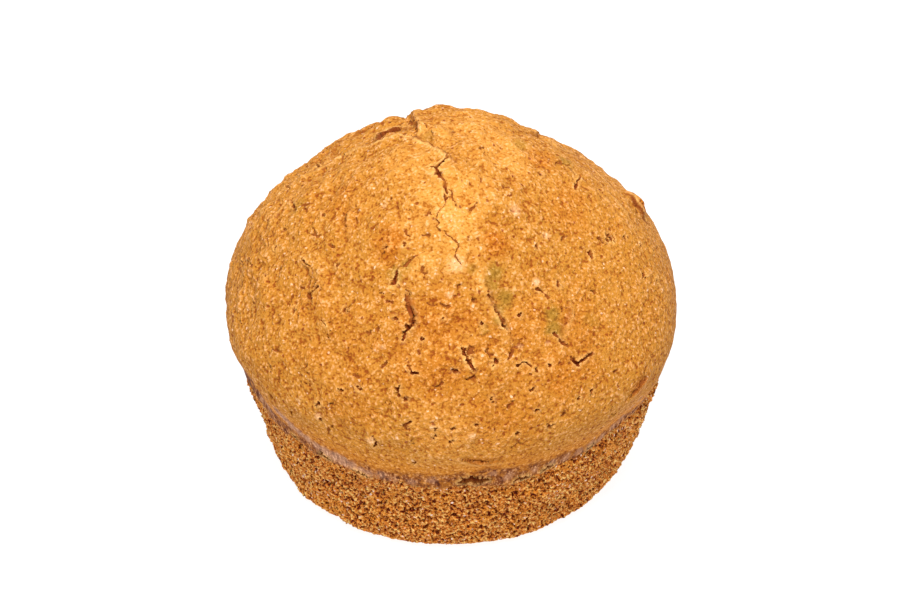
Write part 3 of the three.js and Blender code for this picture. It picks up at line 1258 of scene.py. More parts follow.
FISSURES = (
    # the open crack from the peak down the front
    Fissure(course(
        Seen, (445, 152.5, 0.5, 0.5), (447, 155, 0.7, 0.6), (448, 158, 0.3, 0.7), (446, 160.5, 0.4, 1.5),
        (442, 162.5, 0.55, 2), (439, 164.5, 0.5, 2), (436.5, 167, 0.65, 2.1), (436.5, 170, 0.6, 1.2),
        (438.5, 173.5, 1.1, 1), (439.5, 176.5, 0.9, 0.9), (443.5, 178.5, 0.4, 0.6), (445, 182.5, 0.3, 0.5),
        (446, 188, 0.6, 1), (446.8, 192.5, 0.9, 1.3), (446.8, 196.5, 1, 1.6), (445, 200, 0.3, 0.6),
        (445.3, 204, 0.25, 0.5), (441.5, 208.5, 0.3, 0.5), (437.5, 213.5, 0.4, 0.5), (436, 219, 0.25, 0.4),
        (438.5, 222.5, 0.3, 0.5), (436, 226.5, 0.35, 0.5), (440.5, 231, 0.3, 0.4),
    ), stray=0.15),
    # the broken inner face left of the slab
    Fissure(course(Seen, (410, 121.5, 0.9, 0.5), (413.5, 124, 1.2, 0.5), (416, 122.5, 0.8, 0.4)), lip=0.0),
    Fissure(course(Seen, (430.5, 166.5, 0.35, 1.2), (434, 167, 0.6, 1.8), (437, 167.5, 0.6, 2))),
    Fissure(course(
        Seen, (449, 189, 0.25, 0.4), (451.5, 193, 0.3, 0.6), (453, 198, 0.3, 0.6), (454.5, 204, 0.4, 0.7),
    )),
    Fissure(course(
        Seen, (444.6, 230.5, 0.25, 0.5), (447.5, 235.5, 0.3, 0.6), (453.5, 239, 0.25, 0.4),
        (456.5, 242, 0.5, 0.7), (458.5, 245.5, 0.5, 0.6), (456.5, 250, 0.4, 0.4), (455, 256, 0.45, 0.5),
        (458, 260, 0.4, 0.5), (461, 264, 0.3, 0.4),
    ), stray=0.12),
    # the deep gap beside the slab
    Fissure(
        course(Above, (-8.6, 23, 0.4, 0.4))
        + course(Seen, (403.5, 119, 0.3, 0.5), (408.5, 121.5, 0.3, 0.5)),
        stray=0.1,
    ),
    Fissure(course(
        Seen, (419, 121, 0.4, 0.6), (417, 124.5, 0.9, 1.1), (415.3, 129, 0.85, 1.35),
        (413.8, 133, 0.55, 1.2), (412.8, 136.5, 0.3, 0.7),
    ), lip=0.05, stray=0.05),
    Fissure(course(
        Seen, (424, 252, 0.3, 0.3), (415, 256, 0.35, 0.5), (409, 261.5, 0.5, 0.5), (401, 267, 0.6, 0.5),
        (396.5, 272, 0.55, 1), (395.5, 278, 0.6, 1.4), (393, 283.5, 0.9, 1.8),
    )),
    Fissure(course(
        Seen, (407, 294, 0.5, 0.6), (408, 300, 1, 0.75), (409.5, 308, 0.8, 0.7), (411.5, 316, 1, 0.75),
        (411, 322, 0.7, 0.7),
    )),
    Fissure(course(
        Seen, (407.5, 289, 0.3, 0.6), (409.5, 294.5, 0.35, 0.8), (407, 299.5, 0.8, 0.8),
        (409.5, 305, 0.6, 1.2), (412, 310.5, 0.7, 1.2), (414, 317, 0.6, 1.4), (413, 323.5, 0.5, 1.3),
        (409, 329, 0.7, 1.6), (405, 333, 0.5, 1.2), (402, 340, 0.5, 1.2),
    )),
    Fissure(course(
        Seen, (488, 291, 0.3, 0.4), (489.5, 297, 0.35, 0.6), (494.5, 303, 0.35, 0.7), (496.5, 311, 0.5, 0.9),
        (500.5, 319, 0.6, 1), (506.5, 330, 0.5, 1.4),
    )),
    Fissure(course(Seen, (470, 345, 0.8, 0.5), (472, 349, 1.5, 0.55), (468.5, 353, 1.1, 0.6))),
    Fissure(course(
        Seen, (461, 348, 0.4, 0.9), (464.5, 350, 0.7, 1.2), (464, 354, 0.5, 1.2), (467, 356.5, 0.6, 1.4),
        (466.5, 360.5, 0.8, 1.5), (470.5, 362, 0.7, 1.6), (471.5, 366, 0.5, 1.2), (474.5, 370.5, 0.4, 0.9),
    ), stray=0.1),
    Fissure(course(
        Seen, (517, 366.5, 0.5, 1), (521.5, 362.5, 0.7, 1.3), (526, 363.5, 0.6, 1.3), (531, 366, 0.5, 0.9),
    )),
    Fissure(course(
        Seen, (571, 356.5, 0.4, 0.6), (576.5, 364, 0.8, 1.3), (580, 360.5, 0.7, 1.4), (586, 358, 0.5, 1),
        (592, 352.5, 0.5, 0.8),
    )),
    Fissure(course(
        Seen, (553, 333, 0.4, 0.6), (558.5, 337, 0.5, 0.8), (562, 342, 0.6, 1), (568, 346, 0.4, 0.6),
    )),
    Fissure(course(Seen, (580.5, 175.5, 0.35, 0.6), (578, 182, 0.6, 1), (574.6, 189.5, 0.4, 0.7))),
    Fissure(course(Seen, (571, 169, 0.35, 0.6), (575, 174, 0.5, 0.9))),
    Fissure(course(Seen, (555, 163.5, 0.4, 0.6), (562, 163, 0.7, 0.6), (570, 165.5, 0.5, 0.5))),
    Fissure(course(
        Seen, (548, 139, 0.4, 0.6), (555, 145, 0.6, 0.8), (566, 151, 0.35, 0.5), (578, 157, 0.35, 0.6),
    )),
    Fissure(course(Seen, (398.8, 386, 0.3, 0.8), (398.8, 391, 0.5, 1), (398.3, 396, 0.4, 0.8))),
    Fissure(course(Seen, (409.8, 422, 0.4, 0.8), (403.7, 425.5, 0.5, 0.9), (406, 429.5, 0.4, 0.7))),
    Fissure(course(Seen, (378, 440.5, 0.35, 0.8), (374, 446.5, 0.5, 1))),
    Fissure(course(Seen, (536, 289, 0.5, 0.7), (543, 291, 0.6, 1), (548, 297.5, 0.4, 0.7))),
    Fissure(course(Seen, (319, 167, 0.5, 0.9), (315.5, 163.5, 0.4, 0.6), (310, 164, 0.3, 0.5))),
    Fissure(course(Seen, (291, 189, 0.35, 0.6), (286, 186.5, 0.4, 0.6), (280, 191, 0.3, 0.5))),
    Fissure(course(Seen, (291, 199, 0.5, 0.7), (293, 205, 0.6, 0.9), (296, 211, 0.35, 0.6))),
    Fissure(course(
        Seen, (272, 233, 0.3, 0.4), (268, 238, 0.35, 0.5), (268.5, 245, 0.5, 0.9), (267, 252, 0.35, 0.5),
    )),
    Fissure(course(Seen, (241, 261, 0.4, 0.7), (243.5, 267.5, 0.5, 0.9))),
    Fissure(course(
        Seen, (318.5, 287, 0.4, 0.7), (313, 291, 0.4, 0.8), (308, 295, 0.9, 1.2), (311.5, 299.5, 0.6, 0.9),
    )),
    Fissure(course(Seen, (295, 307, 0.4, 0.9), (293, 312, 0.5, 0.9))),
    Fissure(course(Seen, (321, 320, 0.35, 0.7), (326.5, 326, 0.5, 1))),
    Fissure(course(Seen, (345, 212, 0.3, 0.3), (343.5, 219, 0.4, 0.5), (344.5, 226, 0.3, 0.3))),
    Fissure(course(Seen, (302, 258, 0.4, 0.6), (306.5, 264, 0.4, 0.8), (311, 266, 0.3, 0.4))),
    Fissure(course(Seen, (408, 366, 0.4, 0.8), (413, 373, 0.5, 1), (419, 372.5, 0.4, 0.7))),
    Fissure(course(Seen, (452, 371, 0.4, 0.8), (457, 371.5, 0.5, 0.9))),
    # the line of the fold over the band
    Fissure(course(
        Seen, (462, 459.5, 0.25, 0.5), (470, 461, 0.35, 0.7), (482, 461.5, 0.35, 0.7),
        (492, 461.5, 0.25, 0.4),
    ), lip=0.05, stray=0.1),
    # the hole and the slits where the band tore off the crumb
    Fissure(course(
        Seen, (459, 482.5, 0.6, 2), (464, 481, 1.6, 3.4), (470, 480, 2.2, 4), (477, 481, 2.2, 4),
        (482.5, 480.5, 1.4, 3.4), (488, 479.5, 0.6, 2),
    ), lip=0.22, **TORN),
    Fissure(course(
        Seen, (513, 482.5, 0.3, 1.2), (516.5, 480, 0.7, 2.4), (520, 478, 0.8, 2.8), (523, 478.5, 0.6, 2.4),
        (526, 477, 0.8, 2.8), (529, 476.5, 0.3, 1.2),
    ), lip=0.2, **TORN),
    Fissure(course(
        Seen, (541, 472, 0.4, 1.2), (545, 469, 0.8, 2.4), (548, 467, 0.8, 2.4), (553, 465, 0.4, 1.2),
    ), lip=0.2, **TORN),
    Fissure(course(
        Seen, (567, 464, 0.3, 1), (571, 461.5, 0.6, 1.8), (575, 459, 0.7, 2), (580, 456, 0.3, 1),
    ), lip=0.2, **TORN),
    Fissure(course(
        Seen, (586, 449, 0.3, 0.9), (590, 446.5, 0.5, 1.6), (595, 442, 0.3, 0.9),
    ), lip=0.2, **TORN),
    Fissure(course(
        Seen, (319, 452.5, 0.3, 0.8), (323, 455, 0.7, 2.4), (327, 457, 0.7, 2.4), (331, 459, 0.3, 0.8),
    ), lip=0.25, **TORN),
    Fissure(course(
        Seen, (353, 469, 0.3, 0.8), (357, 471, 0.6, 2.2), (363, 474.5, 0.6, 2), (369, 477, 0.3, 0.8),
    ), lip=0.25, **TORN),
    Fissure(course(
        Seen, (292, 432.5, 0.3, 0.8), (295, 436, 0.5, 2), (298, 438.5, 0.3, 0.8),
    ), lip=0.2, **TORN),
    Fissure(course(Beside, (93, 20.2, 0.4, 1.2), (96, 20.8, 1.3, 2.4), (99, 20.5, 0.5, 1.4))),
    Fissure(course(Beside, (29, 20.4, 0.4, 1), (31.5, 20.8, 0.9, 1.8), (34, 20.6, 0.3, 1))),
    Fissure(course(Beside, (158, 20.9, 0.3, 1), (161, 21.1, 0.7, 1.6), (163, 20.8, 0.3, 1))),
    Fissure(course(Seen, (646, 376.5, 0.3, 0.5), (638, 388, 0.4, 0.6), (630, 398, 0.3, 0.5))),
)

PITS = tuple(Pit(*row) for row in course(
    Seen, (611, 238, 1.44, 1.5), (607.5, 235.5, 0.88, 1.1), (625, 237, 0.72, 1), (590.5, 253, 0.96, 1.2),
    (644, 275.5, 1.12, 1.3), (657, 281, 0.88, 1.1), (640, 245, 0.64, 0.9), (652.5, 250.5, 0.64, 0.7),
    (537, 245.5, 0.72, 0.9), (558, 285, 0.88, 1.1), (540, 174, 0.64, 1), (519, 137, 0.72, 1),
    (495, 361.5, 0.96, 1.3), (550, 365, 0.72, 1), (533, 390, 0.88, 1), (493, 397.5, 0.64, 0.9),
    (493, 402, 0.64, 0.9), (592, 391, 0.72, 1), (579, 399, 0.64, 0.9), (536.5, 410.5, 0.64, 0.9),
    (549.5, 426.5, 0.88, 0.9), (476.5, 425, 0.72, 0.9), (517, 434.5, 0.72, 1), (450, 442, 0.64, 0.9),
    (318, 403.5, 0.96, 1.2), (320.5, 420.5, 0.72, 1), (415, 463.5, 0.72, 0.9), (359.5, 389, 0.88, 1),
    (341, 390, 0.72, 0.9), (406, 400, 0.64, 0.9), (453.5, 429, 0.64, 0.9), (436, 428, 0.64, 0.9),
    (435, 436.5, 0.64, 0.9), (386.5, 247.5, 0.72, 0.9), (404.5, 243.5, 0.72, 0.9), (337, 266.5, 0.88, 1),
    (344, 309, 0.88, 1), (275.5, 247.5, 0.64, 1), (265, 275, 0.64, 0.9), (284, 229, 0.48, 0.7),
    (253.5, 303, 0.48, 0.9), (323, 215, 0.64, 0.6), (443, 318, 0.48, 0.9), (395, 318, 0.64, 0.9),
    (421.5, 339.5, 0.72, 1), (482, 324, 0.64, 1), (519, 315.5, 0.72, 1), (537, 371, 0.64, 0.9),
))

SWELLINGS = (
    Swelling(Above(-8.8, 19.5), 5.2, 1.0),
    Swelling(Above(-1.5, 18.5), 3.2, 0.75),
    Swelling(Seen(390, 240), 4.6, 0.55),
    Swelling(Seen(495, 245), 4.4, 0.55),
    Swelling(Seen(634, 205), 4.2, 1.7),
    Swelling(Seen(392, 126), 5.0, 0.5),
    Swelling(Seen(370, 441), 1.1, 0.35),
    Swelling(Seen(612, 182), 2.6, -0.25),
    Swelling(Seen(536.7, 282.5), 0.9, 0.3),
    Swelling(Seen(472.5, 436.5), 0.9, 0.25),
    Swelling(Seen(317.5, 417.5), 0.8, 0.25),
    Swelling(Seen(474, 470), 3.0, 0.5),
    Swelling(Seen(455, 225), 8.0, 0.35),
    Swelling(Beside(-155, 25), 8.0, -0.9),
    Swelling(Beside(-27, 23), 8.0, 0.8),
    Swelling(Seen(640, 372), 5.0, 0.6),
    Swelling(Seen(300, 275), 6.0, -0.5),
    Swelling(Seen(330, 240), 4.0, 0.35),
    Swelling(Seen(430, 138.5), 2.2, -0.5),
)

LEDGES = (
    # the left edge of the slab
    Ledge(
        course(Above, (-7.5, 26, 0.2), (-6.2, 19, 0.4))
        + course(Seen, (415, 122, 0.9), (417.5, 128, 1), (414.5, 135, 0.5)),
        rise=0.45, drop=0.5, reach=2.2,
    ),
    # the upper edge of the front plate, from the main crack out to the left
    Ledge(course(
        Seen, (446, 153.5, 0.6), (440, 149, 1), (433.8, 145.4, 1), (427.4, 142.2, 1), (421, 141, 1),
        (413.5, 136.5, 1), (400.5, 134.5, 1), (389, 137.5, 1), (378, 141, 1), (362, 147, 0.8),
        (340, 158, 0.7), (318, 169, 0.5), (300, 177, 0.1),
    ), rise=0.35, drop=0.5, reach=3.0, shade=1.0),
    # the flake behind it, whose broken face shows over its edge
    Ledge(course(
        Seen, (375, 140.5, 0.2), (379, 138.5, 0.8), (384, 135, 1), (390, 132.5, 1), (396.5, 130.5, 1),
        (402, 129.5, 0.3),
    ), rise=0.65, drop=0.3, reach=2.4, shade=1.4),
    # the blister on the right, which stands out over the skin on its left
    Ledge(course(
        Seen, (628, 193, 0.2), (633, 199, 1), (638, 206, 1), (643.5, 215, 0.6),
    ), rise=0.15, drop=0.25, reach=1.4, shade=1.3),
    # wrinkles along the upper right and the upper left
    Ledge(course(
        Seen, (621, 196, 0.2), (609, 183, 1), (595, 170, 1), (583, 159, 0.2),
    ), rise=0.05, drop=0.06, reach=0.8, shade=0.7),
    Ledge(course(
        Seen, (613, 196, 0.2), (602, 184, 1), (588, 172, 0.8), (580, 165, 0.1),
    ), rise=0.08, drop=0.1, reach=1.0, shade=0.5),
    Ledge(course(
        Seen, (640, 233, 0.1), (629, 215, 0.9), (615, 197, 1), (602, 184, 0.2),
    ), rise=0.12, drop=0.18, reach=1.2, shade=0.6),
    Ledge(course(
        Seen, (630, 230, 0.1), (616, 210, 0.9), (604, 195, 0.8), (595, 186, 0.1),
    ), rise=0.15, drop=0.18, reach=1.2, shade=0.4),
    Ledge(course(
        Seen, (590, 160, 0.2), (578, 155.5, 0.9), (562, 148.5, 1), (549, 142, 0.7), (540, 139.5, 0.1),
    ), rise=0.12, drop=0.15, reach=1.4, shade=0.7),
    Ledge(course(
        Seen, (330, 158, 0.2), (305, 172, 0.8), (285, 187, 1), (268, 206, 1), (250, 232, 0.6),
        (240, 255, 0.1),
    ), rise=0.25, drop=0.25, reach=2.2),
    Ledge(course(
        Seen, (305, 183, 0.2), (290, 196, 0.9), (272, 217, 0.8), (258, 240, 0.2),
    ), rise=0.2, drop=0.25, reach=1.8),
    # edges of crust that lie over their neighbours
    Ledge(course(
        Seen, (300, 260, 0.3), (309, 273, 0.9), (322, 288, 0.8), (330, 297, 0.2),
    ), rise=0.15, drop=0.15, reach=2.0, shade=0.2),
    Ledge(course(
        Seen, (414, 327, 0.4), (415, 314, 0.9), (410, 302, 0.9), (406, 290, 0.3),
    ), rise=0.2, drop=0.35, reach=1.8),
    Ledge(course(
        Seen, (509, 332, 0.4), (500, 318, 0.9), (495, 305, 0.8), (487, 286, 0.4), (483, 270, 0.1),
    ), rise=0.3, drop=0.25, reach=2.2),
    Ledge(course(
        Seen, (568, 300, 0.2), (570, 315, 0.9), (563, 330, 0.7), (560, 340, 0.2),
    ), rise=0.25, drop=0.25, reach=2.0),
    Ledge(course(Seen, (349, 208, 0.3), (344, 219, 0.9), (346, 232, 0.4)), rise=0.25, drop=0.25, reach=2.0),
    # the fold on the right, under the rim
    Ledge(course(
        Seen, (653, 366, 0.2), (645, 378, 1), (637, 389, 1), (627, 401, 0.3),
    ), rise=0.35, drop=0.35, reach=2.4),
    # the fold at the front, over the band
    Ledge(course(
        Seen, (508, 460.5, 0.2), (495, 461.5, 0.8), (482, 462, 1), (471, 461.5, 1), (463, 459.5, 0.9),
        (456, 457.5, 0.2),
    ), rise=0.25, drop=0.25, reach=1.6, shade=0.55),
    # edges on the far side
    Ledge(course(
        Above, (10, 10, 0.2), (14.5, 15, 0.9), (15, 21, 0.8), (12, 26, 0.1),
    ), rise=0.3, drop=0.4, reach=2.8),
    Ledge(course(
        Above, (-20, 8, 0.2), (-19.5, 15, 0.9), (-15, 22, 0.9), (-9, 27, 0.2),
    ), rise=0.3, drop=0.35, reach=2.6),
    Ledge(course(
        Above, (-6.5, 28, 0.2), (0, 29, 0.8), (7, 30, 0.8), (13, 29, 0.1),
    ), rise=0.25, drop=0.3, reach=2.4),
)

PATCHES = {
    "pale": (
        (455.5, 267, 1.6, 1.4), (452, 262, 1.3, 1.3), (455, 215, 7.5, 1), (462, 245, 5, 0.9),
        (450, 180, 5.5, 0.8), (430, 200, 6, 0.7), (455, 262, 3.2, 0.9), (478, 190, 6, 0.6),
        (424, 262, 3.5, 0.8), (500, 150, 9, 0.7), (430, 135, 5.5, 0.6), (470, 125, 9, 0.6),
        (415, 222, 4, 0.6), (370, 441, 1.1, 0.9), (484, 280, 3, 0.6), (410, 160, 8, 0.45),
        # painted light on the lower front, above the fold
        (450, 445, 9, 0.3),
    ),
    "brown": (
        (390, 240, 4.4, 0.8), (497, 243, 4, 0.75), (440, 300, 6, 0.4), (530, 330, 6, 0.4),
        (440, 356, 16, 0.5), (550, 354, 15, 0.45), (480, 405, 18, 0.34), (350, 358, 14, 0.3),
        (570, 205, 8, 0.35), (540, 160, 5, 0.5), (470, 350, 3, 0.6), (350, 200, 9, 0.3),
        # from here on: small patches in folds, under the blister's edge and at cracks, partly painted shade
        (475, 461, 2.2, 0.7), (637, 388, 2.6, 0.6), (643, 205, 1.6, 0.9), (411, 302, 1, 0.9),
        (471, 349, 1.5, 0.9), (409, 120.5, 1.4, 1), (414, 124, 1.3, 1), (390, 133, 1.6, 0.8),
        (438, 174, 0.8, 0.9),
    ),
    "olive": (
        (495, 272, 2.2, 0.9), (493, 286, 1.5, 0.8), (505, 298, 2.2, 0.9), (499, 309, 1.6, 0.8),
        (498, 320, 1.6, 0.9), (552, 314, 2.2, 0.9), (554, 327, 2, 0.9), (406, 266, 1.8, 0.8),
        (396, 274, 1.8, 0.9), (472, 269, 1.2, 0.6), (484, 330, 1.2, 0.6), (520, 145, 2.4, 0.6),
        (566, 161, 2.2, 0.7), (428, 139, 1.8, 0.5), (590, 320, 2, 0.4), (300, 205, 2, 0.5),
        # painted shade under the lip of the main crack
        (439, 172, 1, 0.7),
    ),
    # small pale blisters of batter that stayed light
    "frost": (
        (536.7, 282.5, 0.75, 0.9), (472.5, 436.5, 0.8, 0.9), (317.5, 417.5, 0.7, 0.8), (433, 427, 0.7, 0.6),
        (546.5, 236, 0.8, 0.6), (515.5, 211, 1, 0.6), (630, 226.5, 0.6, 0.7), (370, 441, 0.75, 0.9),
        (384, 206, 0.6, 0.6), (455.5, 264, 2, 0.5), (548, 343, 0.6, 0.6), (450, 294, 0.6, 0.5),
        (382.5, 347, 0.6, 0.6), (520, 346, 0.5, 0.6), (298, 400, 0.6, 0.6),
    ),
    # painted sheen along the band, mostly on its sides where it is seen at a grazing angle
    "band_sheen": (
        (262, 400, 1.2, 0.7), (269, 407.5, 1.2, 0.9), (277.5, 411.5, 1.6, 1), (284.5, 418.5, 1.6, 1),
        (291.5, 425.5, 1.6, 1), (299.5, 432.5, 1.6, 1), (307.5, 439, 1.6, 1), (316.5, 445.5, 1.6, 1),
        (325.5, 451.5, 1.8, 1), (334.5, 456, 1.8, 1), (343.5, 460.5, 1.8, 1), (352.5, 465.5, 1.8, 1),
        (360.5, 470, 1.6, 0.9), (368.5, 474, 1.5, 0.8), (379.5, 475, 1.5, 0.6), (392, 480, 1.4, 0.5),
        (412, 482, 1.4, 0.5), (432, 480, 1.4, 0.5), (640, 399, 1.1, 0.7), (632, 407, 1.1, 0.7),
        (622, 417, 1.2, 0.8), (612, 427, 1.2, 0.8), (602, 436.5, 1.2, 0.8), (591, 445, 1.2, 0.8),
        (579, 451.5, 1.2, 0.7), (566, 457.5, 1.2, 0.7), (552, 463.5, 1.2, 0.7), (536, 469, 1.1, 0.6),
        (508, 477, 1.3, 0.6), (494, 473, 1.2, 0.6),
    ),
}
"""The patches of each colour zone: the pixel in the middle of each, its radius and its strength."""

@dataclass(frozen=True)
class Crackle:
    """Small cracks that run all over the crust, each of a few short steps."""

    count: int = 170
    steps: tuple[int, int] = (1, 4)
    stride: float = 0.55
    width: tuple[float, float] = (0.32, 0.75)
    depth: tuple[float, float] = (0.45, 1.00)
    lip: float = 0.06
    lowest: float = 27.0
    seed: int = 11

    def paths(self, skin: Skin) -> list[np.ndarray]:
        """Draws the cracks.

        Args:
            skin: The vertices of the crust.

        Returns:
            For each crack, rows of x, y, z, width and depth.
        """
        draw = np.random.default_rng(self.seed)
        likely = (skin.height > self.lowest) * (1.0 - 0.7 * smooth(skin.points[:, 0], 0.0, 20.0))
        paths = []
        for start in draw.choice(len(likely), self.count, replace=False, p=likely / likely.sum()):
            place, normal = skin.points[start], skin.normals[start]
            heading = np.cross(normal, draw.normal(size=3))
            width, depth = draw.uniform(*self.width), draw.uniform(*self.depth)
            rows = [(*place, width, depth)]
            for _ in range(draw.integers(*self.steps)):
                heading = heading / np.linalg.norm(heading) + 0.6 * np.cross(normal, draw.normal(size=3))
                ahead = place + heading / np.linalg.norm(heading) * self.stride
                _, met, turned, _ = skin.piece.closest_point_on_mesh(Vector(ahead) * MM)
                thinner = width * draw.uniform(0.5, 1.0)
                between = (np.array(met) / MM + place) / 2
                rows.append((*between, (width + thinner) / 2, depth))
                place, normal, width = np.array(met) / MM, np.array(turned), thinner
                rows.append((*place, width, depth))
            paths.append(np.array(rows))
        return paths


@dataclass
class Crust:
    """The dome and the smooth band under its rim, down to the band's torn edge."""

    form: Form
    sides: int = 96
    cage_spacing: float = 1.7
    voxel: float = 0.52
    under_width: float = 2.2
    skin_width: float = 0.8
    open_rim: float = 1.5
    edge_drop: float = 0.85
    deepest: float = 1.4
    slab_rise: float = 1.6
    slab_reach: float = 15.0
    slab_middle: tuple[float, float] = (-1.8, 16.5)
    slab_edge: tuple[tuple[float, float], ...] = (
        (-0.8, -0.9), (2.0, -3.2), (5.0, -5.6), (10.0, -5.8), (13.0, -6.2), (20.0, -6.6), (28.0, -8.0),
    )
    crackle: Crackle = Crackle()
    broad_reliefs: tuple[Relief, ...] = (
        Relief("lumps", 20.0, 2.4, "dome"),
        Relief("crags", 5.2, 1.3, "craggy"),
        Relief("peak_crags", 3.4, 1.1, "peak"),
    )
    fine_reliefs: tuple[Relief, ...] = (
        Relief("cobbles", 2.0, 0.85, "rough", octaves=1),
        Relief("peel", 0.95, 0.50, "rough", octaves=1),
    )

    def build(self) -> Piece:
        """Models the crust from its cage to its finish.

        Returns:
            The piece.
        """
        piece = turned_cage("crust", self.form.crust_rings(self.cage_spacing), self.sides)
        apply_modifier(piece, "SUBSURF", levels=1, render_levels=1)
        close_ends(piece)
        apply_modifier(piece, "REMESH", mode="VOXEL", voxel_size=self.voxel * MM)
        self.clear_underside(piece)
        self.raise_relief(piece)
        self.tear_edge(piece)
        self.open_cracks(piece)
        self.dress(piece)
        return piece

    def clear_underside(self, piece: Piece) -> None:
        """Puts one face in place of the many that lie hidden over the crumb.

        Args:
            piece: The crust.
        """
        centres = vectors(piece.data.polygons, "center") / MM
        down = vectors(piece.data.polygons, "normal")[:, 2] < -0.9
        inner = np.hypot(centres[:, 0], centres[:, 1]) < self.form.band_foot[0] - self.under_width
        select_faces(piece, down & inner & (centres[:, 2] < self.form.rim_height))
        with edit_mode(piece):
            bpy.ops.mesh.delete(type="FACE")
        close_ends(piece)

    def raise_relief(self, piece: Piece) -> None:
        """Gives the dome its lumps, its raised slab and its bumps.

        Args:
            piece: The crust.
        """
        skin = Skin(piece)
        right = skin.points[:, 0]
        calm = 0.45 * smooth(right, 8.0, 22.0) + 0.30 * fading(skin.height, 30.0, 42.0)
        rough = smooth(skin.height, self.form.crust_edge[1], self.form.rim_height) * (1.0 - calm)
        skin.weigh("dome", smooth(skin.height, self.form.band_foot[1] + 2.5, self.form.rim_height))
        skin.weigh("rough", rough)
        skin.weigh("craggy", rough * (1.0 - 0.6 * smooth(right, 5.0, 14.0)))
        skin.weigh("peak", fading(skin.from_axis, 6.0, 17.0))
        for relief in self.broad_reliefs:
            relief.lay_on(piece)
        skin = Skin(piece)
        skin.push(self.slab(skin))
        skin.settle()
        for swelling in SWELLINGS:
            swelling.lay_on(skin)
        skin.settle()
        log.info("crust relief on %d vertices", len(skin.points))

    def slab(self, skin: Skin) -> np.ndarray:
        """Shapes the slab that broke away upwards, right of the main crack.

        Args:
            skin: The vertices of the crust.

        Returns:
            Its rise at every vertex.
        """
        x, y = skin.points[:, 0], skin.points[:, 1]
        behind = smooth(x - np.interp(y, *zip(*self.slab_edge)), -0.4, 0.4)
        distance = np.hypot(x - self.slab_middle[0], y - self.slab_middle[1])
        return self.slab_rise * behind * fading(distance, 0.0, self.slab_reach)

    def tear_edge(self, piece: Piece) -> None:
        """Lets the band's lower edge wander, and opens its skin there into crumb.

        Args:
            piece: The crust.
        """
        outer, foot = self.form.band_foot
        centres = vectors(piece.data.polygons, "center") / MM
        rim = np.hypot(centres[:, 0], centres[:, 1]) > outer - self.skin_width
        around = np.degrees(np.arctan2(centres[:, 1], centres[:, 0]))
        split_faces(piece, rim & (centres[:, 2] < foot + self.open_rim * OPENED.at(around)))
        skin = Skin(piece)
        rim = smooth(skin.from_axis, outer - self.under_width + 0.6, outer - self.skin_width)
        ragged = 0.7 * grain(skin.points, 1.1, 15.0) + 0.5 * grain(skin.points, 0.5, 16.0)
        height = (skin.height - foot + ragged) / (self.open_rim * OPENED.at(skin.azimuth))
        open_skin = rim * fading(height, 0.35, 0.75)
        skin.note("open", open_skin)
        skin.weigh("open", open_skin * (skin.from_axis > outer - self.skin_width))
        low = fading(skin.height, foot, self.form.rim_height)
        edge = fading(skin.height, foot, foot + 1.8)
        ragged = 0.6 * grain(skin.points, 1.7, 6.0) + 0.6 * grain(skin.points, 0.75, 9.0)
        skin.widen(-edge * (0.5 + 0.35 * grain(skin.points, 1.2, 3.0)))
        drop = TORN_EDGE.at(skin.azimuth) - self.edge_drop - foot
        skin.points[:, 2] += rim * (low * drop + edge * ragged)
        skin.settle()
        open_pores(piece)

    def open_cracks(self, piece: Piece) -> None:
        """Cuts the cracks and pores into a skin that is first made finer round them.

        Args:
            piece: The crust.
        """
        marks = (*FISSURES, *PITS)
        named = [mark.path(piece) for mark in marks]
        small = self.crackle.paths(Skin(piece))
        rows = np.concatenate((*named, *small))
        lips = [mark.lip for mark in marks] + [self.crackle.lip] * len(small)
        lips = np.repeat(lips, [len(path) for path in (*named, *small)])
        steps = np.concatenate([ledge.path(piece)[0] for ledge in LEDGES]) * (1, 1, 1, 0.4)
        self.refine(piece, np.concatenate((rows[:, :4], steps)), 0.20)
        self.refine(piece, np.concatenate(named), 0.08)
        before = Skin(piece)
        shown = [ledge.lay_on(before) for ledge in LEDGES]
        # keeps the painted shade at the feet of the steps and the painted highlight on their upper edges
        for name, shares in zip(("foot", "brink"), np.max(shown, axis=0)):
            before.note(name, shares)
        for relief in self.fine_reliefs:
            relief.lay_on(piece)
        skin = Skin(piece)
        rise = np.einsum("ij,ij->i", skin.points - before.points, before.normals)
        # the finish paints raised places lighter and sunk ones darker by this: painted light and shade
        skin.note("rise", np.clip(0.5 + rise / 0.6, 0.0, 1.0))
        lay_down(piece, rows)
        gap, row = nearest_edge(skin.points, rows)
        width, depth = rows[row, 3], rows[row, 4]
        half = 0.5 * width * (1.0 + 0.8 * grain(skin.points, 0.6, 2.0) + 0.4 * grain(skin.points, 0.3, 3.0))
        half = np.maximum(half, 0.1)
        inside = smooth(1.0 - gap / half, 0.0, 0.5)
        beside = bell(gap, half, 0.32) * (gap > half)
        skin.push(lips[row] * beside - np.minimum(0.52 * depth, self.deepest) * inside)
        skin.settle()
        # how far inside a crack, for its colour: the brown of broken crust with painted shade that deepens
        # with depth
        skin.note("crack", np.clip(inside * (0.20 + depth / 2.4), 0.0, 1.0))
        skin.note("lip", beside * np.clip(depth - 0.4, 0.0, 1.0) * (lips[row] > 0.1))
        log.info("crust cracks cut, %d faces", len(piece.data.polygons))

    def refine(self, piece: Piece, rows: np.ndarray, margin: float) -> None:
        """Cuts the faces near the cracks and pores into smaller ones.

        Args:
            piece: The crust.
            rows: The rows of all paths, with x, y, z and the width.
            margin: How far beyond their edges.
        """
        gap, row = nearest_edge(vectors(piece.data.polygons, "center") / MM, rows)
        split_faces(piece, gap < 0.5 * rows[row, 3] + margin)

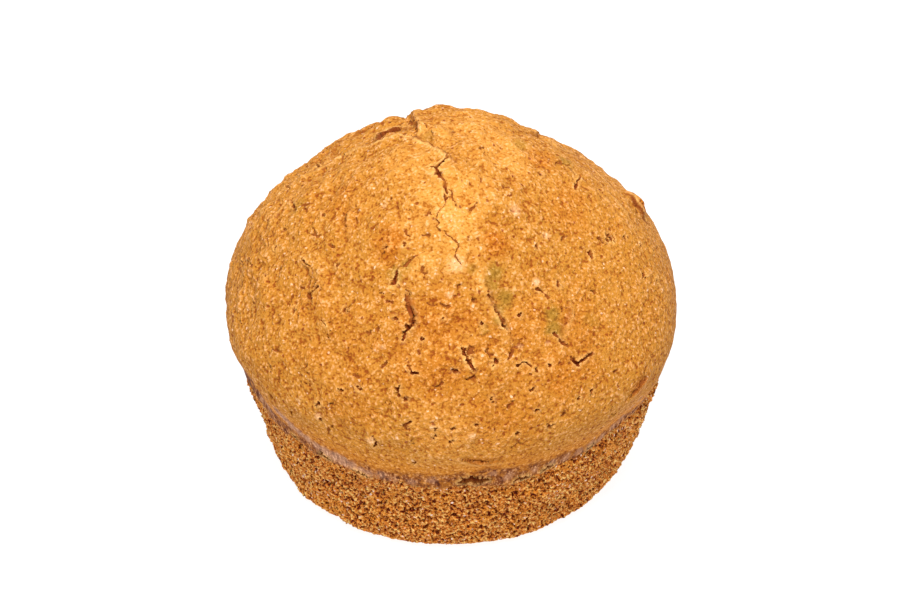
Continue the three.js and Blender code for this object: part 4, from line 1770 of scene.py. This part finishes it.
    def dress(self, piece: Piece) -> None:
        """Keeps the colour zones of the crust and gives it its finish.

        Args:
            piece: The crust.
        """
        skin = Skin(piece)
        ragged = 1.0 + 0.45 * grain(skin.points, 1.3, 4.0) + 0.35 * grain(skin.points, 3.1, 5.0)
        for name, rows in PATCHES.items():
            shades = [Patch(*row).shade(skin, ragged) for row in course(Seen, *rows)]
            skin.note(name, np.clip(np.max(shades, axis=0), 0.0, 1.0))
        over_edge = skin.height - (CRUST_EDGE.at(skin.azimuth) + 0.7 * grain(skin.points, 2.2, 12.0))
        skin.note("band", fading(over_edge, -0.9, 0.9))
        skin.note("low", fading(over_edge, 0.0, 5.5))
        piece.data.materials.append(CrustFinish().make())


# ---- The crumb ----


@dataclass
class Crumb:
    """The open wall of the cake, from its flat underside up to inside the crust."""

    form: Form
    sides: int = 118
    cage_spacing: float = 1.86
    levels: int = 3
    lean: Contour = Contour(((-180, 0), (-110, 0), (-60, 0.45), (-25, 1), (10, 0.5), (60, 0)))
    broad_reliefs: tuple[Relief, ...] = (
        Relief("swell", 6.0, 1.0, "open"),
        Relief("crumbs", 1.9, 0.7, "open", octaves=1),
    )

    def build(self) -> Piece:
        """Models the crumb from its cage to its finish.

        Returns:
            The piece.
        """
        piece = turned_cage("crumb", self.form.crumb_rings(self.cage_spacing), self.sides)
        apply_modifier(piece, "SUBSURF", levels=self.levels, render_levels=self.levels)
        close_ends(piece)
        skin = Skin(piece)
        self.stand(skin)
        skin.widen(self.lean.at(skin.azimuth) * smooth(skin.height, 1.0, 9.0))
        skin.settle()
        covered = fading(skin.height, self.form.wall_top[1] + 2.2, self.form.wall_top[1] + 3.4)
        skin.weigh("open", covered * (0.25 + 0.75 * smooth(skin.height, 0.2, 2.4)) * (skin.height > 0.02))
        for relief in self.broad_reliefs:
            relief.lay_on(piece)
        skin = open_pores(piece)
        self.stand(skin)
        skin.settle()
        piece.data.materials.append(CrumbFinish().make())
        log.info("crumb relief on %d vertices", len(skin.points))
        return piece

    @staticmethod
    def stand(skin: Skin) -> None:
        """Lifts what lies under the floor back onto it."""
        skin.points[:, 2] = np.maximum(skin.points[:, 2], 0.0)


# ---- The studio ----


@dataclass(frozen=True)
class Lamp:
    """A square soft light that faces the cake: its place and its side in metres, and its power in watts."""

    name: str
    place: tuple[float, float, float]
    side: float
    power: float

    def hang(self) -> None:
        """Hangs the light."""
        bpy.ops.object.light_add(type="AREA", location=self.place)
        light = bpy.context.active_object
        light.name = self.name
        light.data.size = self.side
        light.data.energy = self.power
        light.rotation_euler = (PORTRAIT.target - Vector(self.place)).to_track_quat("-Z", "Y").to_euler()


@dataclass(frozen=True)
class Studio:
    """A pale floor under plain soft light from above, with a little of it from the front and the back."""

    floor_size: float = 6.0
    floor_tone: Tone = (120, 120, 120)
    glow: float = 0.92
    sky: float = 0.54
    lamps: tuple[Lamp, ...] = (
        Lamp("key_light", (-0.04, -0.44, 1.12), 0.40, 14.7),
        Lamp("fill_light", (0.0, -1.10, 0.40), 0.6, 0.8),
        Lamp("back_light", (0.10, 0.70, 0.9), 0.6, 5.0),
    )

    def build(self) -> None:
        """Lays the floor, hangs the lights and sets the world."""
        bpy.ops.object.select_all(action="DESELECT")
        bpy.ops.mesh.primitive_plane_add(size=self.floor_size)
        floor = bpy.context.active_object
        floor.name = "studio_floor"
        material = bpy.data.materials.new("floor_finish")
        material.use_nodes = True
        looks = {
            "Base Color": linear(self.floor_tone),
            "Roughness": 0.9,
            "Specular IOR Level": 0.0,
            "Emission Color": WHITE,
            "Emission Strength": self.glow,
        }
        for name, value in looks.items():
            material.node_tree.nodes["Principled BSDF"].inputs[name].default_value = value
        floor.data.materials.append(material)
        for lamp in self.lamps:
            lamp.hang()
        world = bpy.data.worlds.new("studio_sky")
        world.use_nodes = True
        backdrop = world.node_tree.nodes["Background"]
        backdrop.inputs["Color"].default_value = WHITE
        backdrop.inputs["Strength"].default_value = self.sky
        bpy.context.scene.world = world
        bpy.context.scene.view_settings.view_transform = "Standard"


def main() -> None:
    """Builds the studio and both pieces of the cake, and reports each."""
    logging.basicConfig(level=logging.INFO, format="%(name)s: %(message)s")
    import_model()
    PORTRAIT.set_up()
    Studio().build()
    form = Form.from_frame()
    for piece in (Crumb(form).build(), Crust(form).build()):
        select_only(piece)
        bpy.ops.object.shade_smooth()
        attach(piece, BODY)
        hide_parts(NODE)
        triangles = sum(len(face.vertices) - 2 for face in piece.data.polygons)
        log.info("%s: %d triangles", piece.name, triangles)


if __name__ == "__main__":
    main()
